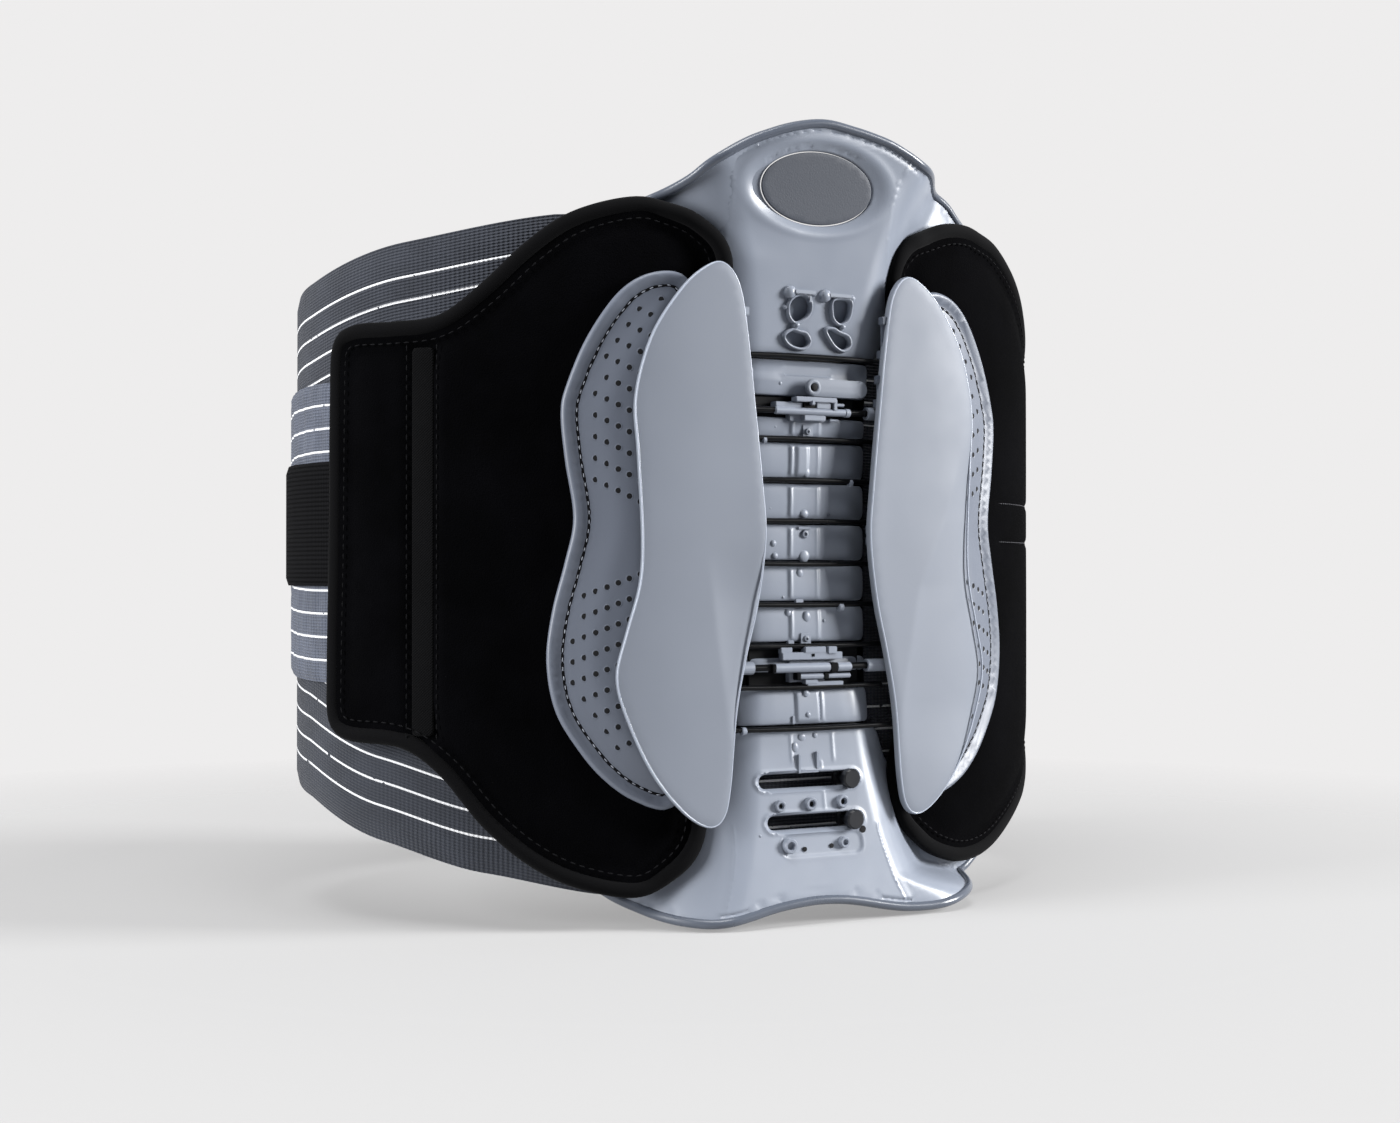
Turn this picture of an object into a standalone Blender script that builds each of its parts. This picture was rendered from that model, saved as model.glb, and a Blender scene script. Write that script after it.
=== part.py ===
"""Lumbar support belt, closed into a ring and standing on its back shell and front panel.

Units: design sizes are millimetres and are scaled by MM to Blender's metres. The wearer's back
faces -Y, +X is to the right of someone looking at the back shell, +Z is up, and z is 0 at the floor.
Soft and shell parts are flat patterns in (s, z, d), wrapped on the wearer's waist: s is the distance
along the waist from the middle of the back, z the height and d the distance outwards.
"""

from bisect import bisect
from math import copysign, cos, hypot, pi, radians, sin

import bmesh
import bpy
from mathutils import Matrix, Vector

MM = 0.001

# The waist that the belt closes round
WAIST_HALF_WIDTH = 164.5
WAIST_HALF_DEPTH = 109.3
WAIST_SQUARENESS = 2.12
CENTRE_SHIFT = 6.1  # moves the ring along Y so that the whole belt is centred on the origin
TABLE_STEPS = 2880

# Spine column: the middle of the shell stands proud, least at the small of the back
SMALL_OF_BACK = 150.0
COLUMN_LOW = 7.0
COLUMN_RISE_UP = 14.0
COLUMN_RISE_DOWN = 18.0
SHELL_THICK = 2.6
FLARE_FACE = 5.8
LOBE_TOP = 18.0  # below this height the right lower lobe fills out
GAP = 0.4

# Segmented middle of the spine
SPINE_TOP = 225.0
SPINE_PITCH = 16.44
SEGMENTS = 9
SEGMENT_GAP = 2.2
SEGMENT_HALF_WIDTH = 31.0
SEGMENT_THICK = 3.0
RIDGE_HALF_WIDTH = 6.8
RIDGE_RISE = 1.0
LACE_RADIUS = 0.9
LACE_HALF_SPAN = 34.5
FIRST_LACE_HALF_SPAN = 30.0
LAST_LACE_HALF_SPAN = 38.0

# Wing covers, their carriers and guide rods
WING_FACE_INNER = 20.5
WING_FACE_OUTER = 25.0
WING_THICK = 3.3
CARRIER_FACE = 17.3
CARRIER_THICK = 1.9
ROD_RADIUS = 1.3
ROD_HALF_LENGTH = 39.5
ROD_DEPTH = 12.2
GUIDE_HEIGHTS = {"upper": 203.6, "lower": 101.2}
LACE_ROWS = (0, 2, 3, 4, 5, 6, 7, 8, 9)  # a guide rod takes the place of row 1
CLAMP_FACE = 15.4
CLAMP_HALF_HEIGHT = 4.2
RUNNING_GAP = 0.3
BUSH_RADIUS = 2.6
BUSH_FROM, BUSH_TO = 27.0, 40.0

# Fabric layers, outward distances of their two faces
BAND = (0.0, 2.0)
STRAP = (2.6, 4.2)
WEBBING = (4.6, 6.6)
PULL_TAB = (4.6, 8.0)
PANEL_FACE = 13.4
PANEL_THICK = 6.0
PANEL_EDGE_THICK = 2.0
PANEL_GAP = 1.3
PAD_THICK = 4.2
LOOP_PATCH = (2.3, 3.3)
HOOK_PATCH = (3.6, 4.8)
FRONT_PANEL = (5.2, 12.4)
FLAP_HINGE = 200.0
FLAP_GAP = 3.0
RIM_RADIUS = 1.7
CUSHION_THICK = 12.5


# ---------------------------------------------------------------- the waist curve
def build_waist_table():
    """Points round the waist from the middle of the back, and the distance to each."""
    power = 2 / WAIST_SQUARENESS
    points, lengths = [], [0.0]
    for step in range(TABLE_STEPS + 1):
        turn = 2 * pi * step / TABLE_STEPS
        x = WAIST_HALF_WIDTH * copysign(abs(sin(turn)) ** power, sin(turn))
        y = -WAIST_HALF_DEPTH * copysign(abs(cos(turn)) ** power, cos(turn))
        if points:
            lengths.append(lengths[-1] + hypot(x - points[-1][0], y - points[-1][1]))
        points.append((x, y))
    return points, lengths


WAIST_POINTS, WAIST_LENGTHS = build_waist_table()
WAIST_LENGTH = WAIST_LENGTHS[-1]
FRONT_MIDDLE = WAIST_LENGTH / 2


def waist(s):
    """Point and outward normal on the waist at distance s, negative to the left."""
    s %= WAIST_LENGTH
    i = min(bisect(WAIST_LENGTHS, s), TABLE_STEPS)
    share = (s - WAIST_LENGTHS[i - 1]) / (WAIST_LENGTHS[i] - WAIST_LENGTHS[i - 1])
    a, b = Vector(WAIST_POINTS[i - 1]), Vector(WAIST_POINTS[i])
    point = a.lerp(b, share)
    e = WAIST_SQUARENESS - 1
    nx = copysign(abs(point.x / WAIST_HALF_WIDTH) ** e, point.x) / WAIST_HALF_WIDTH
    ny = copysign(abs(point.y / WAIST_HALF_DEPTH) ** e, point.y) / WAIST_HALF_DEPTH
    return point, Vector((nx, ny)).normalized()


def on_waist(s, z, d):
    point, normal = waist(s)
    return Vector((point.x + normal.x * d, point.y + normal.y * d + CENTRE_SHIFT, z))


# ---------------------------------------------------------------- faces that layers lie on
def smooth_step(t):
    t = max(0.0, min(1.0, t))
    return t * t * (3 - 2 * t)


def column_face(z):
    """How far the spine column's outer face stands out at height z."""
    q = (z - SMALL_OF_BACK) / SMALL_OF_BACK
    return COLUMN_LOW + (COLUMN_RISE_UP if q > 0 else COLUMN_RISE_DOWN) * q * q


def shell_face(s, z):
    """Outward distance of the back shell's outer face: a flat column that falls to the flares.

    The right lower lobe stands fuller than the left one.
    """
    q2 = ((z - SMALL_OF_BACK) / SMALL_OF_BACK) ** 2
    lobe = smooth_step((LOBE_TOP - z) / 12) if s > 0 else 0
    flat_to, slope_to = 20 + 18 * q2 * q2 + 14 * lobe, 30 + 46 * q2 + 38 * lobe
    column = smooth_step((slope_to - abs(s)) / (slope_to - flat_to))
    point, normal = waist(s)
    level = (WAIST_HALF_DEPTH + column_face(z) + point.y) / -normal.y if abs(s) < 115 else 0
    return column * level + (1 - column) * FLARE_FACE


def panel_floor(s, z):
    """Where a side panel's inner face lies: on the flare, or on the belt beyond it."""
    return max(FLARE_FACE, shell_face(s, z)) + PANEL_GAP


def panel_face(s, z):
    thin = PANEL_EDGE_THICK + (PANEL_THICK - PANEL_EDGE_THICK) * smooth_step((abs(s) - 40) / 20)
    return panel_floor(s, z) + thin


def wing_face(s):
    rise = smooth_step((abs(s) - 25) / 55)
    return WING_FACE_INNER + (WING_FACE_OUTER - WING_FACE_INNER) * rise


def column_y(depth):
    """Y of a point that stands depth out from the wearer's back."""
    return CENTRE_SHIFT - WAIST_HALF_DEPTH - depth


def across(x, z):
    """The distance s at which the back shell's outer face is x to the side."""
    s = x
    for _ in range(6):
        s += x - on_waist(s, z, shell_face(s, z)).x
    return s


# ---------------------------------------------------------------- outlines, as (s, z)
def smooth_loop(points, steps=3):
    """A closed curve through the points."""
    out, n = [], len(points)
    for i in range(n):
        p = [Vector(points[(i + k) % n]) for k in (-1, 0, 1, 2)]
        for j in range(steps):
            t = j / steps
            out.append(
                (
                    p[1] * 2
                    + (p[2] - p[0]) * t
                    + (p[0] * 2 - p[1] * 5 + p[2] * 4 - p[3]) * t * t
                    + (p[1] * 3 - p[0] - p[2] * 3 + p[3]) * t**3
                )
                / 2
            )
    return [tuple(v) for v in out]


def both_halves(right_half):
    """A symmetric outline from its right half, listed from the top middle to the bottom middle."""
    left = [(-s, z) for s, z in reversed(right_half) if s > 0]
    return right_half + left


def to_side(points, side):
    """The right-hand outline, or its mirror for side -1."""
    return points if side > 0 else [(-s, z) for s, z in reversed(points)]


def oval(s, z, half_width, half_height, corners=16):
    angles = [2 * pi * k / corners for k in range(corners)]
    return [(s + half_width * cos(a), z + half_height * sin(a)) for a in angles]


def slot(s0, s1, z, half_height, corners=5):
    """A slot with round ends, from s0 to s1."""
    turns = [pi / 2 - pi * k / (corners - 1) for k in range(corners)]
    right = [(s1 - half_height + half_height * cos(a), z + half_height * sin(a)) for a in turns]
    left = [(s0 + half_height - half_height * cos(a), z - half_height * sin(a)) for a in turns]
    return right + left


def rounded_box(s0, s1, z0, z1, radius, corners=4):
    """A rectangle with round corners."""
    out = []
    for cs, cz, start in (
        (s1 - radius, z1 - radius, 0),
        (s0 + radius, z1 - radius, 90),
        (s0 + radius, z0 + radius, 180),
        (s1 - radius, z0 + radius, 270),
    ):
        for k in range(corners):
            a = radians(start + 90 * k / (corners - 1))
            out.append((cs + radius * cos(a), cz + radius * sin(a)))
    return out


UPPER_SHELL_EDGE = [
    (-88, 272), (-76, 279), (-65, 284), (-57, 287.8), (-50.5, 292), (-46, 296.5), (-41, 300.3),
    (-33.5, 305.2), (-26, 309), (-13, 313.9), (0, 316.2), (13, 314.8), (22, 313.2), (30, 311.2),
    (38, 308), (46, 304.6), (62, 301.5), (79, 296), (87, 290.5), (95, 285), (101, 278),
]
UPPER_SHELL_HIDDEN = [
    (103, 268), (82, 258), (58, 248), (42, 237), (35, 226.5), (18, 226.5), (0, 226.5), (-18, 226.5),
    (-35, 226.5), (-41, 237), (-56, 248), (-78, 258), (-91, 265),
]
LOWER_SHELL_EDGE = [
    (-91, 23), (-83, 16.5), (-76, 12), (-67, 7.8), (-60, 5.4), (-53, 4.2), (-44, 3.9), (-32, 5.8),
    (-24, 7.6), (-15, 9.0), (-3, 9.9), (8, 9.4), (17, 8), (28, 5.6), (37, 4.2), (48, 3.9), (57, 4.9),
    (68, 7), (82, 9.5), (94, 12.5), (104, 17.5),
]
LOWER_SHELL_HIDDEN = [
    (-93, 30), (-76, 35), (-57, 46), (-42, 62), (-35, 75.5), (-18, 75.5), (0, 75.5), (18, 75.5),
    (35, 75.5), (42, 62), (57, 46), (84, 35), (105, 27),
]

LEFT_PANEL = [
    (-59, 283), (-47, 278), (-37, 268), (-35, 254), (-46.5, 236), (-47, 200), (-47, 150), (-47, 100),
    (-46, 62), (-43.5, 43), (-47, 30), (-56, 20), (-70, 13), (-92, 17), (-110, 26), (-127, 41),
    (-143, 61), (-158, 71), (-180, 73), (-189, 80), (-190, 100), (-189, 150), (-188.5, 205),
    (-187, 229), (-178, 236), (-160, 236.5), (-143, 238.5), (-128, 250), (-113, 265), (-99, 276),
    (-85, 282), (-70, 285),
]
RIGHT_PANEL = [
    (59, 282), (73, 286.5), (87, 287.5), (98.5, 285.5), (107.5, 283.4), (118, 278.7), (131, 271.6),
    (144, 262.6), (158, 251), (172, 241), (184, 231), (188.5, 212), (189, 150), (190, 100), (189, 78),
    (178, 62), (160, 46), (148, 38.5), (138, 34), (123, 27), (107, 20), (94, 16.7), (80, 16.3),
    (66, 20), (56, 25.4), (47, 33), (42, 43), (41, 55), (45, 70), (47, 100), (47, 150), (47, 200),
    (46.5, 236), (38, 252), (39, 267), (47, 277),
]
WING = [
    (41, 260), (34, 252), (30.5, 233), (27.5, 205), (24.5, 175), (23, 153), (26, 128), (31, 106),
    (35, 84), (37.5, 55), (40.5, 43), (47, 40), (57, 47), (68, 62), (77, 83), (80.5, 99), (77, 116),
    (72.5, 134), (71.5, 152), (73, 184), (74, 206), (68.5, 229), (59, 246), (50, 256),
]
PAD = [
    (54, 254), (66, 255), (78, 247.5), (89.5, 230), (97, 211), (99, 200), (97.5, 182), (94.5, 160),
    (97.5, 143), (102, 124), (104, 105), (101, 86), (93, 71), (84, 59.5), (73, 51), (60, 47.5),
    (50, 60), (48.5, 90), (48.5, 150), (48.5, 210), (49, 240),
]
CARRIER = [
    (39, 246), (36, 240), (36, 215), (36, 190), (36, 150), (36, 112), (36, 90), (40, 84), (45, 88),
    (47, 105), (47, 150), (47, 200), (46, 240),
]
HUB_MIDDLE = 4.5
HUB_OUTLINE = [
    (0, 246), (5, 252.5), (13, 252.5), (17, 246), (15, 239), (17, 233), (13, 227.8), (5, 227.6), (0, 230),
]
HUB_HOLES = ((-9, 244.6, 4.6, 4.8), (9, 244.4, 4.4, 5.2), (-8.8, 232.6, 5.0, 3.9), (8.8, 232.8, 5.0, 3.9))
SLOTS = ((-24.5, 21, 56.0, 2.8), (-22, 21, 39.8, 2.8))
KNOB_FROM_END = 4.4
SCREWS = ((-16.5, 46.8), (-2, 47.0), (13, 47.2), (-13.8, 31.0), (12, 30.8))
FRONT_HALF = [
    (0, 243), (30, 242), (54, 236), (65, 214), (67, 170), (67, 110), (64, 64), (56, 30), (44, 8),
    (34, 0), (17, 0), (0, 0),
]


# ---------------------------------------------------------------- materials and collections
def clear_scene():
    for obj in list(bpy.data.objects):
        bpy.data.objects.remove(obj)


def make_collection(name):
    collection = bpy.data.collections.new(name)
    bpy.context.scene.collection.children.link(collection)
    return collection


def finish(name, colour, roughness, metallic=0.0):
    material = bpy.data.materials.new(name)
    material.use_nodes = True
    shader = material.node_tree.nodes["Principled BSDF"]
    shader.inputs["Base Color"].default_value = (*colour, 1.0)
    shader.inputs["Roughness"].default_value = roughness
    shader.inputs["Metallic"].default_value = metallic
    return material


clear_scene()
PARTS = make_collection("lumbar_support_belt")
CUTTERS = make_collection("cutters")
CUTTERS.hide_render = True

SHELL_PLASTIC = finish("shell_plastic", (0.30, 0.33, 0.39), 0.35)
WING_PLASTIC = finish("wing_plastic", (0.36, 0.39, 0.45), 0.32)
RIM_RUBBER = finish("rim_rubber", (0.13, 0.145, 0.175), 0.45)
BADGE_PLASTIC = finish("badge_plastic", (0.12, 0.135, 0.165), 0.5)
PAD_LEATHER = finish("pad_leather", (0.19, 0.21, 0.25), 0.42)
PANEL_FABRIC = finish("panel_fabric", (0.006, 0.006, 0.008), 0.95)
BAND_ELASTIC = finish("band_elastic", (0.11, 0.12, 0.15), 0.85)
WEBBING_BLACK = finish("webbing_black", (0.008, 0.008, 0.01), 0.8)
HOOK_BLACK = finish("hook_black", (0.012, 0.012, 0.014), 0.9)
LACE_BLACK = finish("lace_black", (0.015, 0.016, 0.02), 0.4)
GUIDE_STEEL = finish("guide_steel", (0.55, 0.57, 0.6), 0.25, 1.0)
CUSHION_MESH = finish("cushion_mesh", (0.02, 0.021, 0.025), 0.95)
STAY_PLASTIC = finish("stay_plastic", (0.03, 0.03, 0.035), 0.6)


# ---------------------------------------------------------------- building helpers
def add_mesh_object(name, mesh, material, collection=PARTS):
    obj = bpy.data.objects.new(name, mesh)
    mesh.materials.clear()
    if material:
        mesh.materials.append(material)
    collection.objects.link(obj)
    return obj


def pattern_mesh(name, loops, low, high):
    """A flat pattern cut from sheet: its outline, then its holes, from d = low to d = high."""
    curve = bpy.data.curves.new(name, "CURVE")
    curve.dimensions = "2D"
    curve.fill_mode = "BOTH"
    curve.extrude = (high - low) / 2 * MM
    for loop in loops:
        spline = curve.splines.new("POLY")
        spline.points.add(len(loop) - 1)
        for point, (s, z) in zip(spline.points, loop):
            point.co = (s * MM, z * MM, 0, 1)
        spline.use_cyclic_u = True
    flat = bpy.data.objects.new(name + "_pattern", curve)
    bpy.context.scene.collection.objects.link(flat)
    bpy.context.view_layer.update()
    graph = bpy.context.evaluated_depsgraph_get()
    mesh = bpy.data.meshes.new_from_object(flat.evaluated_get(graph))
    bpy.data.objects.remove(flat)
    shape = bmesh.new()
    shape.from_mesh(mesh)
    bmesh.ops.remove_doubles(shape, verts=shape.verts, dist=1e-6)
    bmesh.ops.translate(shape, verts=shape.verts, vec=(0, 0, (low + high) / 2 * MM))
    bmesh.ops.triangulate(shape, faces=shape.faces)
    bmesh.ops.recalc_face_normals(shape, faces=shape.faces)
    bmesh.ops.dissolve_limit(shape, angle_limit=0.01, verts=shape.verts, edges=shape.edges)
    shape.to_mesh(mesh)
    shape.free()
    return mesh


def slice_mesh(shape, axis, step, extra=()):
    """Cuts the pattern across s (axis 0) or z (axis 1), so that it can bend there."""
    values = [v.co[axis] / MM for v in shape.verts]
    first, last = int(min(values) // step), int(max(values) // step)
    places = [k * step for k in range(first, last + 1)] + list(extra)
    normal = Vector((1, 0, 0)) if axis == 0 else Vector((0, 1, 0))
    for place in places:
        if min(values) + 0.6 < place < max(values) - 0.6:
            geometry = shape.verts[:] + shape.edges[:] + shape.faces[:]
            bmesh.ops.bisect_plane(
                shape, geom=geometry, dist=2e-5, plane_co=normal * place * MM, plane_no=normal
            )


def wrapped(name, loops, low, high, place, material, across=14, up=0, extra_s=(), extra_z=()):
    """A flat pattern bent into place: place(s, z, d) gives the point in millimetres."""
    mesh = pattern_mesh(name, loops, low, high)
    shape = bmesh.new()
    shape.from_mesh(mesh)
    slice_mesh(shape, 0, across, extra_s)
    if up:
        slice_mesh(shape, 1, up, extra_z)
    bmesh.ops.triangulate(shape, faces=shape.faces)
    for vert in shape.verts:
        s, z, d = vert.co / MM
        vert.co = place(s, z, d) * MM
    shape.to_mesh(mesh)
    shape.free()
    return add_mesh_object(name, mesh, material)


def tube(name, points, radius, material):
    """A round bar or cord along points in millimetres."""
    curve = bpy.data.curves.new(name, "CURVE")
    curve.dimensions = "3D"
    curve.bevel_depth = radius * MM
    curve.bevel_resolution = 2
    curve.use_fill_caps = True
    spline = curve.splines.new("POLY")
    spline.points.add(len(points) - 1)
    for point, place in zip(spline.points, points):
        point.co = (*(Vector(place) * MM), 1)
    curve.materials.append(material)
    obj = bpy.data.objects.new(name, curve)
    PARTS.objects.link(obj)
    return obj


def rod_along_x(name, radius, x0, x1, y, z, material, collection=PARTS, sides=16):
    bpy.ops.mesh.primitive_cylinder_add(
        vertices=sides,
        radius=radius * MM,
        depth=(x1 - x0) * MM,
        location=((x0 + x1) / 2 * MM, y * MM, z * MM),
        rotation=(0, pi / 2, 0),
    )
    return adopt(name, material, collection)


def block(name, x0, x1, y0, y1, z0, z1, material, collection=PARTS):
    bpy.ops.mesh.primitive_cube_add(
        size=1, location=((x0 + x1) / 2 * MM, (y0 + y1) / 2 * MM, (z0 + z1) / 2 * MM)
    )
    obj = adopt(name, material, collection)
    obj.data.transform(Matrix.Diagonal(((x1 - x0) * MM, (y1 - y0) * MM, (z1 - z0) * MM, 1)))
    return obj


def adopt(name, material, collection):
    """Names the primitive just added and moves it to its collection."""
    obj = bpy.context.object
    obj.name = name
    obj.data.name = name
    for old in list(obj.users_collection):
        old.objects.unlink(obj)
    collection.objects.link(obj)
    if material:
        obj.data.materials.append(material)
    if collection == CUTTERS:
        obj.hide_render = True
        obj.display_type = "WIRE"
    return obj


def combine(obj, other, operation):
    """A Boolean of obj with a helper that is kept among the cutters."""
    if other.name not in CUTTERS.objects:
        for old in list(other.users_collection):
            old.objects.unlink(other)
        CUTTERS.objects.link(other)
    other.hide_render = True
    other.display_type = "WIRE"
    modifier = obj.modifiers.new(operation.lower() + "_" + other.name, "BOOLEAN")
    modifier.operation = operation
    modifier.object = other


def turned(name, profile, x, y, z, material, steps=14):
    """A piece turned about Y: the profile is (radius, distance outwards), from outside inwards."""
    mesh = bpy.data.meshes.new(name)
    shape = bmesh.new()
    verts = [shape.verts.new((radius * MM, 0, out * MM)) for radius, out in profile]
    for a, b in zip(verts, verts[1:]):
        shape.edges.new((a, b))
    shape.to_mesh(mesh)
    shape.free()
    obj = add_mesh_object(name, mesh, material)
    screw = obj.modifiers.new("turn", "SCREW")
    screw.steps = steps
    screw.render_steps = steps
    screw.use_merge_vertices = True
    screw.merge_threshold = 0.00001
    obj.rotation_euler = (pi / 2, 0, 0)
    obj.location = (x * MM, y * MM, z * MM)
    return obj


# ---------------------------------------------------------------- back shells
def shell_place(s, z, d):
    return on_waist(s, z, shell_face(s, z) + d)


def build_shells():
    upper = smooth_loop(UPPER_SHELL_EDGE + UPPER_SHELL_HIDDEN, 2)
    badge_hole = oval(0, 292, 25, 14.5, 20)
    pockets = [oval(s + HUB_MIDDLE, z, w + 0.6, h + 0.6, 12) for s, z, w, h in HUB_HOLES]
    wrapped("upper_shell", [upper, badge_hole, *pockets], -SHELL_THICK, 0, shell_place,
            SHELL_PLASTIC, across=7, up=14)
    lower = smooth_loop(LOWER_SHELL_EDGE + LOWER_SHELL_HIDDEN[::-1], 2)
    slots = [slot(across(x0, z), across(x1, z), z, half) for x0, x1, z, half in SLOTS]
    holes = [oval(across(x, z), z, 1.5, 1.5, 8) for x, z in SCREWS]
    wrapped("lower_shell", [lower, *slots, *holes], -SHELL_THICK, 0, shell_place,
            SHELL_PLASTIC, across=7, up=14, extra_z=[LOBE_TOP])
    wrapped("badge_insert", [oval(0, 292, 24.5, 14, 20)], -2.6, -1.0, shell_place,
            BADGE_PLASTIC, across=14, up=14)


def build_hub_frame():
    outline = [(s + HUB_MIDDLE, z) for s, z in smooth_loop(both_halves(HUB_OUTLINE), 2)]
    holes = [oval(s + HUB_MIDDLE, z, w, h, 12) for s, z, w, h in HUB_HOLES]
    wrapped("hub_frame", [outline, *holes], GAP, 2.0, shell_place, SHELL_PLASTIC, across=20)


def rim_points(edge, sign, steps=2):
    """The rim follows the shell's free edge, just outside it."""
    line = [Vector(p) for p in edge]
    out = []
    for i in range(len(line) - 1):
        p = [line[max(0, min(len(line) - 1, i + k))] for k in (-1, 0, 1, 2)]
        for j in range(steps):
            t = j / steps
            out.append(
                (
                    p[1] * 2
                    + (p[2] - p[0]) * t
                    + (p[0] * 2 - p[1] * 5 + p[2] * 4 - p[3]) * t * t
                    + (p[1] * 3 - p[0] - p[2] * 3 + p[3]) * t**3
                )
                / 2
            )
    out.append(line[-1])
    placed = []
    for i, p in enumerate(out):
        along = (out[min(i + 1, len(out) - 1)] - out[max(i - 1, 0)]).normalized()
        edge_point = p + Vector((-along.y, along.x)) * sign * (RIM_RADIUS + GAP)
        depth = shell_face(p.x, p.y) - SHELL_THICK / 2
        placed.append(on_waist(edge_point.x, edge_point.y, depth))
    return placed


def build_rims():
    tube("upper_rim", rim_points(UPPER_SHELL_EDGE, 1), RIM_RADIUS, RIM_RUBBER)
    tube("lower_rim", rim_points(LOWER_SHELL_EDGE, -1), RIM_RADIUS, RIM_RUBBER)


# ---------------------------------------------------------------- segmented spine and lacing
def segment_middle(k):
    return SPINE_TOP - SPINE_PITCH * (k + 0.5)


def build_spine():
    half = (SPINE_PITCH - SEGMENT_GAP) / 2

    def place(s, z, d):
        ridge = RIDGE_RISE if d > -0.1 and abs(s) < RIDGE_HALF_WIDTH + 0.1 else 0
        return on_waist(s, z, shell_face(s, z) + d + ridge)

    for k in range(SEGMENTS):
        z = segment_middle(k)
        outline = rounded_box(
            -SEGMENT_HALF_WIDTH, SEGMENT_HALF_WIDTH, z - half, z + half, 2.5, 3
        )
        edges = [RIDGE_HALF_WIDTH, RIDGE_HALF_WIDTH + 1, -RIDGE_HALF_WIDTH, -RIDGE_HALF_WIDTH - 1]
        wrapped(f"vertebra_{k + 1}", [outline], -SEGMENT_THICK, 0, place, SHELL_PLASTIC,
                across=100, extra_s=[*edges, 20, 25, -20, -25])


def build_lacing():
    for count, k in enumerate(LACE_ROWS, 1):
        z = SPINE_TOP - SPINE_PITCH * k
        depth = column_face(z) + RIDGE_RISE + GAP + LACE_RADIUS
        y = column_y(depth)
        half = {0: FIRST_LACE_HALF_SPAN, SEGMENTS: LAST_LACE_HALF_SPAN}.get(k, LACE_HALF_SPAN)
        ends = [(-half, y, z), (half, y, z)]
        tube(f"lace_{count}", ends, LACE_RADIUS, LACE_BLACK)


def build_guides():
    """Two rods across the spine, each held by a clamp, on which both wings slide."""
    y = column_y(ROD_DEPTH)
    for label, z in GUIDE_HEIGHTS.items():
        rod_along_x(f"guide_rod_{label}", ROD_RADIUS, -ROD_HALF_LENGTH, ROD_HALF_LENGTH, y, z,
                    GUIDE_STEEL)
        low, high = z - CLAMP_HALF_HEIGHT, z + CLAMP_HALF_HEIGHT
        inner = max(column_face(low), column_face(high)) + RIDGE_RISE + GAP
        clamp = block(f"rod_clamp_{label}", -8.5, 8.5, column_y(CLAMP_FACE),
                      column_y(inner), low, high, SHELL_PLASTIC)
        bore = rod_along_x(f"clamp_bore_{label}", ROD_RADIUS + RUNNING_GAP, -12, 12, y, z, None,
                           CUTTERS)
        combine(clamp, bore, "DIFFERENCE")


def build_anchor_tab():
    """A flat tab with a round boss at one end, on the top segment."""
    z, pivot = segment_middle(0) - 3.0, 0.5
    bar = slot(pivot - 3.6, 26, z, 3.6)
    mesh = pattern_mesh("anchor_tab", [bar], 12.4, 14.0)
    for vert in mesh.vertices:
        x, height, depth = vert.co / MM
        vert.co = Vector((x, column_y(depth), height)) * MM
    tab = add_mesh_object("anchor_tab", mesh, WING_PLASTIC)
    boss = turned("tab_boss", [(0, 15.4), (3.6, 15.4), (3.6, 12.2), (0, 12.2)], pivot,
                  column_y(0), z, None, 12)
    combine(tab, boss, "UNION")


# ---------------------------------------------------------------- wings, carriers and pads
def build_wings():
    def wing_place(s, z, d):
        return on_waist(s, z, wing_face(s) + d)

    def carrier_place(s, z, d):
        return on_waist(s, z, CARRIER_FACE + d)

    def pad_place(s, z, d):
        return on_waist(s, z, max(PANEL_FACE, panel_face(s, z)) + GAP + d)

    y = column_y(ROD_DEPTH)
    for label, side in (("left", -1), ("right", 1)):
        wrapped(f"wing_{label}", [smooth_loop(to_side(WING, side), 2)], -WING_THICK, 0, wing_place,
                WING_PLASTIC, across=9)
        wrapped(f"pad_{label}", [smooth_loop(to_side(PAD, side), 2)], 0, PAD_THICK, pad_place,
                PAD_LEATHER, across=9, up=40)
        carrier = wrapped(f"wing_carrier_{label}", [smooth_loop(to_side(CARRIER, side), 1)],
                          -CARRIER_THICK, 0, carrier_place, SHELL_PLASTIC, across=12)
        for end, z in GUIDE_HEIGHTS.items():
            x0, x1 = sorted((side * BUSH_FROM, side * BUSH_TO))
            bush = rod_along_x(f"bush_{label}_{end}", BUSH_RADIUS, x0, x1, y, z, None, CUTTERS)
            combine(carrier, bush, "UNION")
        for end, z in GUIDE_HEIGHTS.items():
            x0, x1 = sorted((side * (BUSH_FROM - 6), side * (BUSH_TO + 12)))
            bore = rod_along_x(f"bush_bore_{label}_{end}", ROD_RADIUS + RUNNING_GAP, x0, x1, y,
                               z, None, CUTTERS)
            combine(carrier, bore, "DIFFERENCE")


# ---------------------------------------------------------------- fabric
PANEL_FOLDS = [-63, -49, -35, 35, 49, 63]


def build_side_panels():
    def place(s, z, d):
        return on_waist(s, z, panel_face(s, z) if d > 0.5 else panel_floor(s, z))

    for label, outline in (("left", LEFT_PANEL), ("right", RIGHT_PANEL)):
        wrapped(f"side_panel_{label}", [smooth_loop(outline, 2)], 0, 1, place, PANEL_FABRIC,
                across=14, up=14, extra_s=PANEL_FOLDS, extra_z=[LOBE_TOP])


def band_edge(s, points):
    """Height of the band's edge at distance s, read off straight runs between points."""
    s = abs(s)
    for (s0, z0), (s1, z1) in zip(points, points[1:]):
        if s <= s1:
            return z0 + (z1 - z0) * smooth_step((s - s0) / (s1 - s0)) * 0.3 + (
                z1 - z0
            ) * 0.7 * (s - s0) / (s1 - s0)
    return points[-1][1]


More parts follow.
